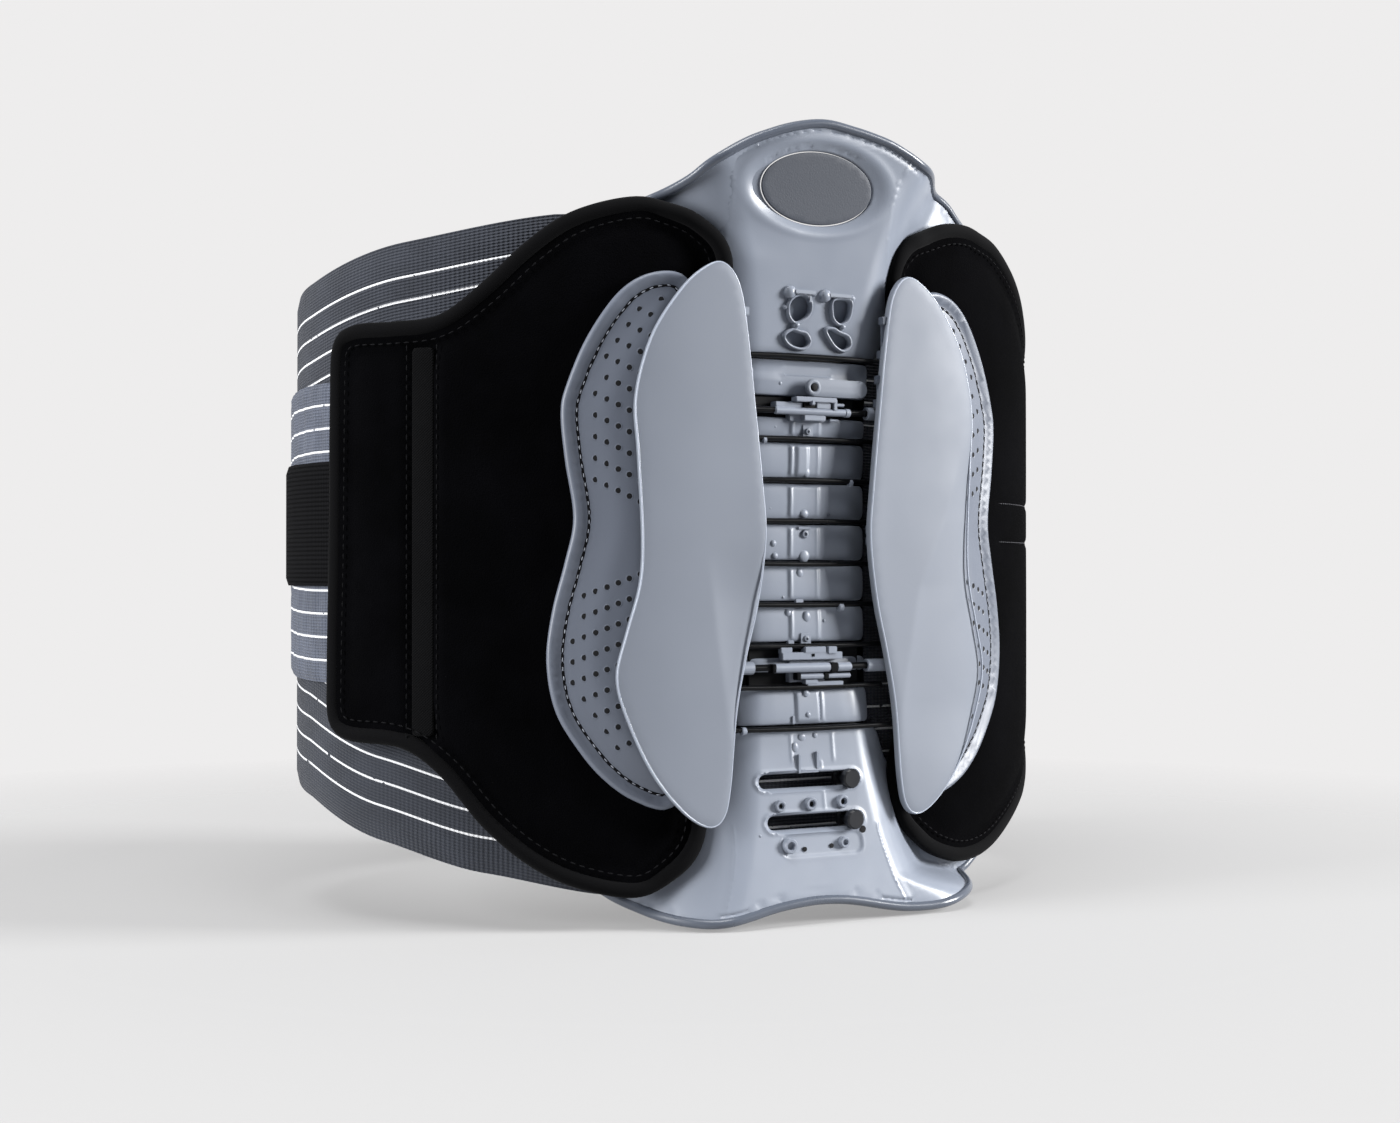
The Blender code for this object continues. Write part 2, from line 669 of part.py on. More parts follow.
BAND_TOP = [(0, 280), (100, 279), (163, 269), (218, 258), (300, 246), (490, 240)]
BAND_BOTTOM = [(0, 13), (83, 13), (130, 22), (172, 33), (219, 47), (300, 60), (490, 66)]


def band_outline(s0, s1, top, bottom, step=12):
    count = max(2, int(abs(s1 - s0) / step))
    stations = [s0 + (s1 - s0) * k / count for k in range(count + 1)]
    upper = [(s, band_edge(s, top)) for s in stations]
    lower = [(s, band_edge(s, bottom)) for s in reversed(stations)]
    return upper + lower


def build_band():
    """The elastic band: the part behind the shell and a flap to each side of it."""
    flap = FLAP_HINGE + FLAP_GAP
    back = FLAP_HINGE - FLAP_GAP
    spans = {
        "band_back": (-back, back),
        "band_flap_left": (-FRONT_MIDDLE + 43, -flap),
        "band_flap_right": (flap, FRONT_MIDDLE + 39),
    }
    for name, (s0, s1) in spans.items():
        wrapped(name, [band_outline(s0, s1, BAND_TOP, BAND_BOTTOM)], *BAND, on_waist,
                BAND_ELASTIC, across=12)


def build_straps():
    """The narrower compression strap, the webbing on it and the tab at its end, to each side."""
    start = FLAP_HINGE + FLAP_GAP
    for label, side in (("left", -1), ("right", 1)):
        strap = to_side([(start, 215.5), (356, 206), (362, 198), (362, 112), (356, 104), (start, 94.5)], side)
        wrapped(f"compression_strap_{label}", [strap], *STRAP, on_waist, BAND_ELASTIC, across=12)
        webbing = to_side([(start, 183.5), (324, 183.5), (324, 133.5), (start, 133.5)], side)
        wrapped(f"pull_webbing_{label}", [webbing], *WEBBING, on_waist, WEBBING_BLACK, across=12)
        tab = to_side(rounded_box(325, 363, 135, 182, 12), side)
        wrapped(f"pull_tab_{label}", [tab], *PULL_TAB, on_waist, HOOK_BLACK, across=12)


def build_front():
    """The front panel on the left flap, and the hook and loop that close it on the right flap."""
    outline = [(s - FRONT_MIDDLE, z) for s, z in smooth_front()]
    wrapped("front_panel", [outline], *FRONT_PANEL, on_waist, PANEL_FABRIC, across=11)
    loop_patch = rounded_box(FRONT_MIDDLE - 60, FRONT_MIDDLE + 36, 80, 226, 6)
    wrapped("loop_patch", [loop_patch], *LOOP_PATCH, on_waist, HOOK_BLACK, across=12)
    hook_patch = rounded_box(-FRONT_MIDDLE - 58, -FRONT_MIDDLE + 34, 84, 222, 6)
    wrapped("hook_patch", [hook_patch], *HOOK_PATCH, on_waist, HOOK_BLACK, across=12)


def smooth_front():
    """The front panel's outline, with its foot kept flat on the floor."""
    curved = smooth_loop(both_halves(FRONT_HALF), 2)
    return [(s, 0.0 if z < 1.0 else z) for s, z in curved]


def build_cushion_and_stays():
    """A pad inside the belt with a flat face to the wearer's back, and a stay in each side."""
    def place(s, z, d):
        point = on_waist(s, z, -GAP)
        if d < -1:
            point.y = CENTRE_SHIFT - WAIST_HALF_DEPTH + CUSHION_THICK
        return point

    outline = rounded_box(-58, 58, 48, 252, 22, 5)
    wrapped("lumbar_cushion", [outline], -2, 0, place, CUSHION_MESH, across=15)
    for label, side in (("left", -1), ("right", 1)):
        stay = to_side(slot(143, 153, 150, 5), side)
        tall = [(s, 150 + (z - 150) + (92 if z > 150 else -92)) for s, z in stay]
        wrapped(f"stay_{label}", [tall], -2.4, -GAP, on_waist, STAY_PLASTIC, across=50)


# ---------------------------------------------------------------- sliders and screws
def build_sliders():
    """A knob in each slot: round head, waisted shank and a flange behind the shell."""
    for label, (_, end, z, _) in zip(("upper", "lower"), SLOTS):
        face = column_face(z)
        profile = [
            (0, face + 4.2), (3.4, face + 4.2), (4.0, face + 3.6), (4.0, face + 1.3),
            (2.2, face + 1.3), (2.2, face - 4.1), (4.0, face - 4.1), (4.0, face - 5.3), (0, face - 5.3),
        ]
        turned(f"slot_slider_{label}", profile, end - KNOB_FROM_END, column_y(0), z, BADGE_PLASTIC)


def build_screws():
    for n, (x, z) in enumerate(SCREWS):
        face = column_face(z)
        profile = [
            (0, face + 1.6), (1.0, face + 1.6), (1.1, face + 2.4), (1.9, face + 2.4), (2.3, face + 1.9),
            (2.3, face + 0.9), (1.1, face + 0.9), (1.1, face - 4.5), (0, face - 4.5),
        ]
        turned(f"shell_screw_{n + 1}", profile, x, column_y(0), z, GUIDE_STEEL, 10)


build_shells()
build_hub_frame()
build_rims()
build_spine()
build_lacing()
build_guides()
build_anchor_tab()
build_wings()
build_side_panels()
build_band()
build_straps()
build_front()
build_cushion_and_stays()
build_sliders()
build_screws()
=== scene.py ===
"""Looks of the lumbar support belt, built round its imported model.

Soft and moulded parts are laid out flat as (s, z, d) in millimetres and wrapped on the waist: s runs
round it from the middle of the back, z is the height and d stands outwards.
"""

import math

import bmesh
import bpy
import numpy as np
from bpy.props import FloatProperty, FloatVectorProperty, PointerProperty
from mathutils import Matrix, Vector, kdtree
from mathutils.geometry import delaunay_2d_cdt


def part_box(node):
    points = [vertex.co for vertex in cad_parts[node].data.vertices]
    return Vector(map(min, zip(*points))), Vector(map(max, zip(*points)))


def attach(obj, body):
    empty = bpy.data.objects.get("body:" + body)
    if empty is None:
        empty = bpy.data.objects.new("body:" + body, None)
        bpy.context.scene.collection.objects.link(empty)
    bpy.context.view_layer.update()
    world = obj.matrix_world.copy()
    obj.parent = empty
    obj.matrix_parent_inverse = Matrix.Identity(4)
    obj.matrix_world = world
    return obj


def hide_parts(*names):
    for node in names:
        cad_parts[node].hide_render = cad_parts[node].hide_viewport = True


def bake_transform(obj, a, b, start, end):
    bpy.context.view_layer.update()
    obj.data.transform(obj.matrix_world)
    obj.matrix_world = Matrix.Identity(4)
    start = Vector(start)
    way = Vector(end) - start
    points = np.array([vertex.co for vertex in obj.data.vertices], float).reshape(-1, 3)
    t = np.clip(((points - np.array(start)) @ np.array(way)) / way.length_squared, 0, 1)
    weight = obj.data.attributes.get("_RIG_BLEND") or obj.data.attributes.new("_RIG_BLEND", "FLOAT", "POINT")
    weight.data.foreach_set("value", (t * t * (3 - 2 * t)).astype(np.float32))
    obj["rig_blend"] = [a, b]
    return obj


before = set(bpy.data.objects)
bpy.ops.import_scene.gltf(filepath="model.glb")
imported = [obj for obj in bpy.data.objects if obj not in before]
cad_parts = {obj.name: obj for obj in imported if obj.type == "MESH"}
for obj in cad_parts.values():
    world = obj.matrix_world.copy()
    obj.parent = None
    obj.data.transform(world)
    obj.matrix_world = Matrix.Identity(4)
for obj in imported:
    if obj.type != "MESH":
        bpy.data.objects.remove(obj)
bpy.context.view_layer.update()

bl_info = {
    "name": "Lumbar Support Belt",
    "version": (1, 0, 0),
    "blender": (4, 5, 0),
    "location": "View3D > Sidebar > Belt",
    "description": "Builds the visible pieces of a lumbar support belt",
    "category": "Object",
}

MM = 0.001

# The waist that the belt closes round, as in the model
WAIST_HALF_WIDTH = 164.5
WAIST_HALF_DEPTH = 109.3
WAIST_SQUARENESS = 2.12
BAND_THICK = 2.0
CENTRE_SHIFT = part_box("band_back")[0].y / MM + WAIST_HALF_DEPTH + BAND_THICK
SMALL_OF_BACK = 150.0
FLARE_FACE = 5.8
PANEL_GAP = 1.3
SPINE_TOP = 225.0
SPINE_PITCH = 16.44
SEGMENTS = 9
SHELL_THICK = 2.6
LOBE_TOP = 18.0
LEFT, RIGHT = -1, 1
SIDE_NAMES = {LEFT: "left", RIGHT: "right"}


# ---------------------------------------------------------------- the waist and the faces on it
def waist_table(steps=5760):
    """Points round the waist, and the distance run at each."""
    turn = np.linspace(0, 2 * np.pi, steps + 1)
    power = 2 / WAIST_SQUARENESS
    x = WAIST_HALF_WIDTH * np.sign(np.sin(turn)) * np.abs(np.sin(turn)) ** power
    y = -WAIST_HALF_DEPTH * np.sign(np.cos(turn)) * np.abs(np.cos(turn)) ** power
    run = np.concatenate([[0], np.cumsum(np.hypot(np.diff(x), np.diff(y)))])
    return x, y, run


TABLE_X, TABLE_Y, TABLE_RUN = waist_table()
WAIST_LENGTH = TABLE_RUN[-1]
FRONT_MIDDLE = WAIST_LENGTH / 2


def waist(s):
    """Points and outward normals on the waist."""
    s = np.mod(s, WAIST_LENGTH)
    x, y = np.interp(s, TABLE_RUN, TABLE_X), np.interp(s, TABLE_RUN, TABLE_Y)
    e = WAIST_SQUARENESS - 1
    nx = np.sign(x) * np.abs(x / WAIST_HALF_WIDTH) ** e / WAIST_HALF_WIDTH
    ny = np.sign(y) * np.abs(y / WAIST_HALF_DEPTH) ** e / WAIST_HALF_DEPTH
    size = np.hypot(nx, ny)
    return x, y, nx / size, ny / size


def place(s, z, d):
    """Points in metres for s, z and d in millimetres."""
    s, z, d = np.broadcast_arrays(*(np.asarray(a, float) for a in (s, z, d)))
    x, y, nx, ny = waist(s)
    return np.stack([x + nx * d, y + ny * d + CENTRE_SHIFT, z], -1) * MM


def outward(s):
    """The outward direction at s."""
    _, _, nx, ny = waist(np.asarray(s, float))
    return np.stack([nx, ny, np.zeros_like(nx)], -1)


def smooth_step(t):
    """From 0 to 1 with a soft start and end, held outside that range."""
    t = np.clip(t, 0, 1)
    return t * t * (3 - 2 * t)


def column_face(z):
    q = (z - SMALL_OF_BACK) / SMALL_OF_BACK
    return 7 + np.where(q > 0, 14, 18) * q * q


def shell_face(s, z):
    """The shell's outer face: a flat column that falls to the flares, with a fuller lobe low on the right."""
    q2 = ((z - SMALL_OF_BACK) / SMALL_OF_BACK) ** 2
    lobe = smooth_step((LOBE_TOP - z) / 12) * (np.asarray(s) > 0)
    flat_to, slope_to = 20 + 18 * q2 * q2 + 14 * lobe, 30 + 46 * q2 + 38 * lobe
    column = smooth_step((slope_to - np.abs(s)) / (slope_to - flat_to))
    _, y, _, ny = waist(s)
    level = (WAIST_HALF_DEPTH + column_face(z) + y) / np.maximum(-ny, 0.3)
    return np.where(np.abs(s) < 115, column * level + (1 - column) * FLARE_FACE, FLARE_FACE)


def panel_floor(s, z):
    """Where a side panel's back lies."""
    return np.maximum(FLARE_FACE, shell_face(s, z)) + PANEL_GAP


def panel_face(s, z):
    """Where a side panel's front lies."""
    return panel_floor(s, z) + 2.0 + 4.0 * smooth_step((np.abs(s) - 40) / 20)


def wing_face(s):
    return 20.5 + 4.5 * smooth_step((np.abs(s) - 25) / 55)


def pad_floor(s, z):
    return np.maximum(13.4, panel_face(s, z)) + 0.4


def column_y(depth):
    """Y in metres of a point that stands depth out from the wearer's back."""
    return (CENTRE_SHIFT - WAIST_HALF_DEPTH - depth) * MM


def across(x, z):
    """The distance s at which the shell's face is x to the side."""
    s = float(x)
    for _ in range(6):
        s += x - place(s, z, shell_face(s, z))[0] / MM
    return s


def column_place(x, z, out=0.0):
    """A point on the spine's face, x to the side of its middle."""
    s = across(x, z)
    return s, z, float(shell_face(s, z)) + out


# ---------------------------------------------------------------- outlines, as (s, z)
def smooth_loop(points, steps=6, closed=True):
    """A curve through the points."""
    p = np.array(points, float)
    n = len(p)
    pick = (lambda i: p[i % n]) if closed else (lambda i: p[max(0, min(n - 1, i))])
    out = []
    for i in range(n if closed else n - 1):
        a, b, c, d = (pick(i + k) for k in (-1, 0, 1, 2))
        for j in range(steps):
            t = j / steps
            ahead = (c - a) * t + (a * 2 - b * 5 + c * 4 - d) * t * t + (b * 3 - a - c * 3 + d) * t**3
            out.append((b * 2 + ahead) / 2)
    if not closed:
        out.append(p[-1])
    return np.array(out)


def spaced(path, step, closed=True):
    """The path again, with points at even distances."""
    p = np.vstack([path, path[:1]]) if closed else np.asarray(path, float)
    run = np.concatenate([[0], np.cumsum(np.linalg.norm(np.diff(p, axis=0), axis=1))])
    count = max(3, int(round(run[-1] / step)))
    at = np.linspace(0, run[-1], count + 1)
    out = np.stack([np.interp(at, run, p[:, k]) for k in range(p.shape[1])], -1)
    return out[:-1] if closed else out


def both_halves(right_half):
    """A half outline and its mirror, as one loop."""
    return right_half + [(-s, z) for s, z in reversed(right_half) if s > 0]


def to_side(points, side):
    """The right-hand outline, or its mirror for the left."""
    return list(points) if side == RIGHT else [(-s, z) for s, z in reversed(points)]


def oval(s, z, half_width, half_height, corners=32):
    turn = np.linspace(0, 2 * np.pi, corners, endpoint=False)
    return np.stack([s + half_width * np.cos(turn), z + half_height * np.sin(turn)], -1)


def slot_outline(s0, s1, z, half_height, corners=9):
    """A slot with round ends."""
    turn = np.linspace(np.pi / 2, -np.pi / 2, corners)
    right = np.stack([s1 - half_height + half_height * np.cos(turn), z + half_height * np.sin(turn)], -1)
    left = np.stack([s0 + half_height - half_height * np.cos(turn), z - half_height * np.sin(turn)], -1)
    return np.vstack([right, left])


def rounded_box(s0, s1, z0, z1, radius, corners=5):
    out = []
    for cs, cz, start in (
        (s1 - radius, z1 - radius, 0),
        (s0 + radius, z1 - radius, 90),
        (s0 + radius, z0 + radius, 180),
        (s1 - radius, z0 + radius, 270),
    ):
        for k in range(corners):
            a = math.radians(start + 90 * k / (corners - 1))
            out.append((cs + radius * math.cos(a), cz + radius * math.sin(a)))
    return np.array(out)


def left_normals(path, closed=True):
    along = np.roll(path, -1, 0) - np.roll(path, 1, 0) if closed else np.gradient(path, axis=0)
    along = along / np.maximum(np.linalg.norm(along, axis=1, keepdims=True), 1e-9)
    return np.stack([-along[:, 1], along[:, 0]], -1)


def turned_so(path, anticlockwise=True):
    """The loop in the same turning direction, whichever way it was drawn."""
    x, y = path[:, 0], path[:, 1]
    is_anticlockwise = np.sum(x * np.roll(y, -1) - np.roll(x, -1) * y) > 0
    return path if is_anticlockwise == anticlockwise else path[::-1]


def inset(path, distance):
    """A closed path moved towards its inside."""
    path = turned_so(np.asarray(path, float))
    return path + left_normals(path) * distance


UPPER_SHELL_EDGE = [
    (-88, 272), (-76, 279), (-65, 284), (-57, 287.8), (-50.5, 292), (-46, 296.5), (-41, 300.3),
    (-33.5, 305.2), (-26, 309), (-13, 313.9), (0, 316.2), (13, 314.8), (22, 313.2), (30, 311.2),
    (38, 308), (46, 304.6), (62, 301.5), (79, 296), (87, 290.5), (95, 285), (101, 278),
]
UPPER_SHELL_HIDDEN = [
    (103, 268), (82, 258), (58, 248), (42, 237), (35, 226.5), (18, 226.5), (0, 226.5), (-18, 226.5),
    (-35, 226.5), (-41, 237), (-56, 248), (-78, 258), (-91, 265),
]
LOWER_SHELL_EDGE = [
    (-91, 23), (-83, 16.5), (-76, 12), (-67, 7.8), (-60, 5.4), (-53, 4.2), (-44, 3.9), (-32, 5.8),
    (-24, 7.6), (-15, 9.0), (-3, 9.9), (8, 9.4), (17, 8), (28, 5.6), (37, 4.2), (48, 3.9), (57, 4.9),
    (68, 7), (82, 9.5), (94, 12.5), (104, 17.5),
]
LOWER_SHELL_HIDDEN = [
    (-93, 30), (-76, 35), (-57, 46), (-42, 62), (-35, 75.5), (-18, 75.5), (0, 75.5), (18, 75.5),
    (35, 75.5), (42, 62), (57, 46), (84, 35), (105, 27),
]
LEFT_PANEL = [
    (-59, 283), (-47, 278), (-37, 268), (-35, 254), (-46.5, 236), (-47, 200), (-47, 150), (-47, 100),
    (-46, 62), (-43.5, 43), (-47, 30), (-56, 20), (-70, 13), (-92, 17), (-110, 26), (-127, 41),
    (-143, 61), (-158, 71), (-180, 73), (-189, 80), (-190, 100), (-189, 150), (-188.5, 205),
    (-187, 229), (-178, 236), (-160, 236.5), (-143, 238.5), (-128, 250), (-113, 265), (-99, 276),
    (-85, 282), (-70, 285),
]
RIGHT_PANEL = [
    (59, 282), (73, 286.5), (87, 287.5), (98.5, 285.5), (107.5, 283.4), (118, 278.7), (131, 271.6),
    (144, 262.6), (158, 251), (172, 241), (184, 231), (188.5, 212), (189, 150), (190, 100), (189, 78),
    (178, 62), (160, 46), (148, 38.5), (138, 34), (123, 27), (107, 20), (94, 16.7), (80, 16.3),
    (66, 20), (56, 25.4), (47, 33), (42, 43), (41, 55), (45, 70), (47, 100), (47, 150), (47, 200),
    (46.5, 236), (38, 252), (39, 267), (47, 277),
]
PANELS = {-1: LEFT_PANEL, 1: RIGHT_PANEL}
WING = [
    (41, 260), (34, 252), (30.5, 233), (27.5, 205), (24.5, 175), (23, 153), (26, 128), (31, 106),
    (35, 84), (37.5, 55), (40.5, 43), (47, 40), (57, 47), (68, 62), (77, 83), (80.5, 99), (77, 116),
    (72.5, 134), (71.5, 152), (73, 184), (74, 206), (68.5, 229), (59, 246), (50, 256),
]
WING_UNDER = 17.2
PAD = [
    (54, 254), (66, 255), (78, 247.5), (89.5, 230), (97, 211), (99, 200), (97.5, 182), (94.5, 160),
    (97.5, 143), (102, 124), (104, 105), (101, 86), (93, 71), (84, 59.5), (73, 51), (60, 47.5),
    (50, 60), (48.5, 90), (48.5, 150), (48.5, 210), (49, 240),
]
SLOTS = ((-24.5, 21, 56.0, 2.8), (-22, 21, 39.8, 2.8))
SCREWS = ((-16.5, 46.8), (-2, 47.0), (13, 47.2), (-13.8, 31.0), (12, 30.8))
FRONT_HALF = [
    (0, 243), (30, 242), (54, 236), (65, 214), (67, 170), (67, 110), (64, 64), (56, 30), (44, 8),
    (34, 0), (17, 0), (0, 0),
]
BAND_TOP = [(0, 280), (100, 279), (163, 269), (218, 258), (300, 246), (490, 240)]
BAND_BOTTOM = [(0, 13), (83, 13), (130, 22), (172, 33), (219, 47), (300, 60), (490, 66)]


def band_edge(s, points):
    """Height of the band's edge at distances s."""
    s = np.abs(np.asarray(s, float))
    runs, heights = np.array(points, float).T
    i = np.clip(np.searchsorted(runs, s, side="left"), 1, len(runs) - 1)
    t = (s - runs[i - 1]) / (runs[i] - runs[i - 1])
    rise = heights[i] - heights[i - 1]
    return heights[i - 1] + rise * (0.3 * smooth_step(t) + 0.7 * t)


# ---------------------------------------------------------------- solids from flat patterns
def loop_edges(loops):
    return np.vstack(loops), np.vstack([np.roll(loop, -1, 0) for loop in loops])


def edge_distance(points, loops):
    """Distance of each point from the nearest edge of the loops."""
    a, b = loop_edges(loops)
    tree = kdtree.KDTree(len(a))
    for i, (x, y) in enumerate((a + b) / 2):
        tree.insert((x, y, 0), i)
    tree.balance()
    nearest = np.array([tree.find((x, y, 0))[1] for x, y in points])
    best = np.full(len(points), np.inf)
    for step in (-1, 0, 1):
        i = (nearest + step) % len(a)
        run = b[i] - a[i]
        t = np.sum((points - a[i]) * run, 1) / np.maximum(np.sum(run * run, 1), 1e-12)
        foot = a[i] + run * np.clip(t, 0, 1)[:, None]
        best = np.minimum(best, np.linalg.norm(points - foot, axis=1))
    return best


def is_inside(points, loops):
    """Which points lie inside the loops."""
    a, b = loop_edges(loops)
    out = np.zeros(len(points), bool)
    rise = np.where(np.abs(b[:, 1] - a[:, 1]) < 1e-12, 1e-12, b[:, 1] - a[:, 1])
    for start in range(0, len(points), 4000):
        x, y = points[start : start + 4000, 0, None], points[start : start + 4000, 1, None]
        spans = (a[:, 1] > y) != (b[:, 1] > y)
        meets = (b[:, 0] - a[:, 0]) * (y - a[:, 1]) / rise + a[:, 0]
        out[start : start + 4000] = np.sum(spans & (x < meets), 1) % 2 == 1
    return out


def lattice(s0, s1, z0, z1, step):
    """Points in staggered rows."""
    rows = np.arange(z0, z1 + step, step * 0.866)
    s = np.arange(s0, s1 + step, step)
    grid = np.stack(np.broadcast_arrays(s[None, :] + 0.5 * step * (np.arange(len(rows)) % 2)[:, None],
                                        rows[:, None]), -1)
    return grid.reshape(-1, 2)


def fill(loops, step, rings, fine=()):
    """Triangles that fill the loops: points, triangles and each point's distance from an edge."""
    last = rings[-1] if len(rings) else 0.0
    points = [np.vstack(loops)]
    for ring in rings:
        for loop in loops:
            moved = loop + left_normals(loop) * ring
            clear = edge_distance(moved, loops) > ring * 0.9
            points.append(moved[clear])
    low, high = np.vstack(loops).min(0), np.vstack(loops).max(0)
    areas = [(low[0], high[0], low[1], high[1], step), *fine]
    for n, (s0, s1, z0, z1, size) in enumerate(areas):
        grid = lattice(s0, s1, z0, z1, size)
        grid = grid[is_inside(grid, loops)]
        grid = grid[edge_distance(grid, loops) > last + size * 0.55]
        for a0, a1, b0, b1, other in areas[n + 1 :]:
            gap = other * 0.6
            taken = (grid[:, 0] > a0 - gap) & (grid[:, 0] < a1 + gap)
            taken &= (grid[:, 1] > b0 - gap) & (grid[:, 1] < b1 + gap)
            grid = grid[~taken]
        points.append(grid)
    points = np.vstack(points)
    edges, at = [], 0
    for loop in loops:
        edges += [(at + k, at + (k + 1) % len(loop)) for k in range(len(loop))]
        at += len(loop)
    made, _, faces, origin, _, _ = delaunay_2d_cdt([Vector(p) for p in points], edges, [], 0, 1e-7)
    flat = np.array([(v.x, v.y) for v in made])
    faces = np.array(faces)
    middle = flat[faces].mean(1)
    faces = faces[is_inside(middle, loops)]
    p, q, r = flat[faces[:, 0]], flat[faces[:, 1]], flat[faces[:, 2]]
    area = (q[:, 0] - p[:, 0]) * (r[:, 1] - p[:, 1]) - (q[:, 1] - p[:, 1]) * (r[:, 0] - p[:, 0])
    faces = np.where(area[:, None] > 0, faces, faces[:, ::-1])[np.abs(area) > 1e-9]
    where = {o: i for i, origins in enumerate(origin) for o in origins}
    rim = np.array([where[k] for k in range(at)])
    distance = edge_distance(flat, loops)
    distance[rim] = 0
    return flat, faces, distance, rim


def rounded(distance, radius):
    """How far a rounded edge falls back, at each distance from the rim."""
    t = np.clip(1 - distance / max(radius, 1e-6), 0, 1)
    return radius * (1 - np.sqrt(np.maximum(0, 1 - t * t)))


def height_of(face, s, z):
    """A height that may be a number or a function."""
    return face(s, z) if callable(face) else np.full(len(s), float(face))


def plate(name, loops, top, bottom, material, step=3.0, edge=1.0, under_edge=0.3, fine=(),
          relief=None, under_step=None, crisp=50, wrap=place):
    """A solid between two faces whose outline, and holes after it, are cut from a flat pattern."""
    loops = [turned_so(np.asarray(loop, float), k == 0) for k, loop in enumerate(loops)]
    rings = [edge * r for r in (0.06, 0.25, 0.55, 1.0)] if edge > 0 else []
    flat, faces, distance, rim = fill(loops, step, rings, fine)
    s, z = flat.T
    d = height_of(top, s, z) - rounded(distance, edge)
    if relief:
        d = d + relief(s, z, distance)
    under_rings = [under_edge * r for r in (0.3, 1.0)] if under_edge > 0 else []
    flat2, faces2, distance2, rim2 = fill(loops, under_step or step * 2.5, under_rings)
    s2, z2 = flat2.T
    d2 = height_of(bottom, s2, z2) + rounded(distance2, under_edge)
    points = np.vstack([wrap(s, z, d), wrap(s2, z2, d2)])
    rim2 = rim2 + len(flat)
    walls, at = [], 0
    for loop in loops:
        i = np.arange(len(loop))
        j = (i + 1) % len(loop)
        walls.append(np.stack([rim[at + i], rim2[at + i], rim2[at + j], rim[at + j]], -1))
        at += len(loop)
    polygons = faces.tolist() + (faces2[:, ::-1] + len(flat)).tolist() + np.vstack(walls).tolist()
    mesh = bpy.data.meshes.new(name)
    mesh.from_pydata(points.tolist(), [], polygons)
    pattern = np.vstack([flat, flat2]) * MM
    add_pattern(mesh, pattern)
    mesh.materials.append(material)
    mesh.shade_smooth()
    mesh.set_sharp_from_angle(angle=math.radians(crisp))
    obj = link_object(name, mesh)
    obj["front"] = len(flat)
    return obj


def add_pattern(mesh, flat):
    """Keeps the flat pattern as the UV map."""
    loops = np.zeros(len(mesh.loops), np.int32)
    mesh.loops.foreach_get("vertex_index", loops)
    uv = mesh.uv_layers.new(name="pattern")
    uv.data.foreach_set("uv", flat[loops].astype(np.float32).ravel())


def link_object(name, mesh):
    obj = bpy.data.objects.new(name, mesh)
    bpy.context.scene.collection.objects.link(obj)
    return obj


def add_piece(name, points, faces, material, crisp=40):
    mesh = bpy.data.meshes.new(name)
    mesh.from_pydata(np.asarray(points).tolist(), [], faces)
    mesh.materials.append(material)
    shape = bmesh.new()
    shape.from_mesh(mesh)
    bmesh.ops.remove_doubles(shape, verts=shape.verts, dist=1e-6)
    bmesh.ops.recalc_face_normals(shape, faces=shape.faces)
    if shape.calc_volume(signed=True) < 0:
        bmesh.ops.reverse_faces(shape, faces=shape.faces)
    shape.to_mesh(mesh)
    shape.free()
    mesh.shade_smooth()
    mesh.set_sharp_from_angle(angle=math.radians(crisp))
    return link_object(name, mesh)


def swept(name, centres, sideways, out, profile, material, closed=True, crisp=60):
    """A profile of (sideways, outwards) millimetres carried along a line of centres."""
    n, m = len(centres), len(profile)
    p = np.array(profile, float) * MM
    points = centres[:, None, :] + sideways[:, None, :] * p[None, :, :1] + out[:, None, :] * p[None, :, 1:]
    index = np.arange(n * m).reshape(n, m)
    first, after = (index, np.roll(index, -1, 0)) if closed else (index[:-1], index[1:])
    faces = np.stack([first, after, np.roll(after, -1, 1), np.roll(first, -1, 1)], -1)
    faces = faces.reshape(-1, 4).tolist()
    if not closed:
        faces += [index[0].tolist(), index[-1][::-1].tolist()]
    return add_piece(name, points.reshape(-1, 3), faces, material, crisp)


def line_frame(path, depth, closed=True):
    """Centres in metres, sideways and outward directions along a path on the belt."""
    side = left_normals(path, closed)
    s, z = path[:, 0], path[:, 1]
    d = height_of(depth, s, z)
    centres, out = place(s, z, d), outward(s)
    sideways = place(s + side[:, 0] * 0.5, z + side[:, 1] * 0.5, d) - centres
    sideways -= out * np.sum(sideways * out, -1, keepdims=True)
    sideways /= np.linalg.norm(sideways, axis=-1, keepdims=True)
    return centres, sideways, out


def bead(name, path, depth, profile, material, closed=True, step=1.5):
    """A bead along a flat path, its depth a number or a function of (s, z)."""
    path = spaced(path, step, closed)
    return swept(name, *line_frame(path, depth, closed), profile, material, closed)


def round_profile(half_width, half_height, corners=12, lift=0.0):
    turn = [2 * math.pi * k / corners for k in range(corners)]
    return [(half_width * math.cos(a), half_height * math.sin(a) + lift) for a in turn]


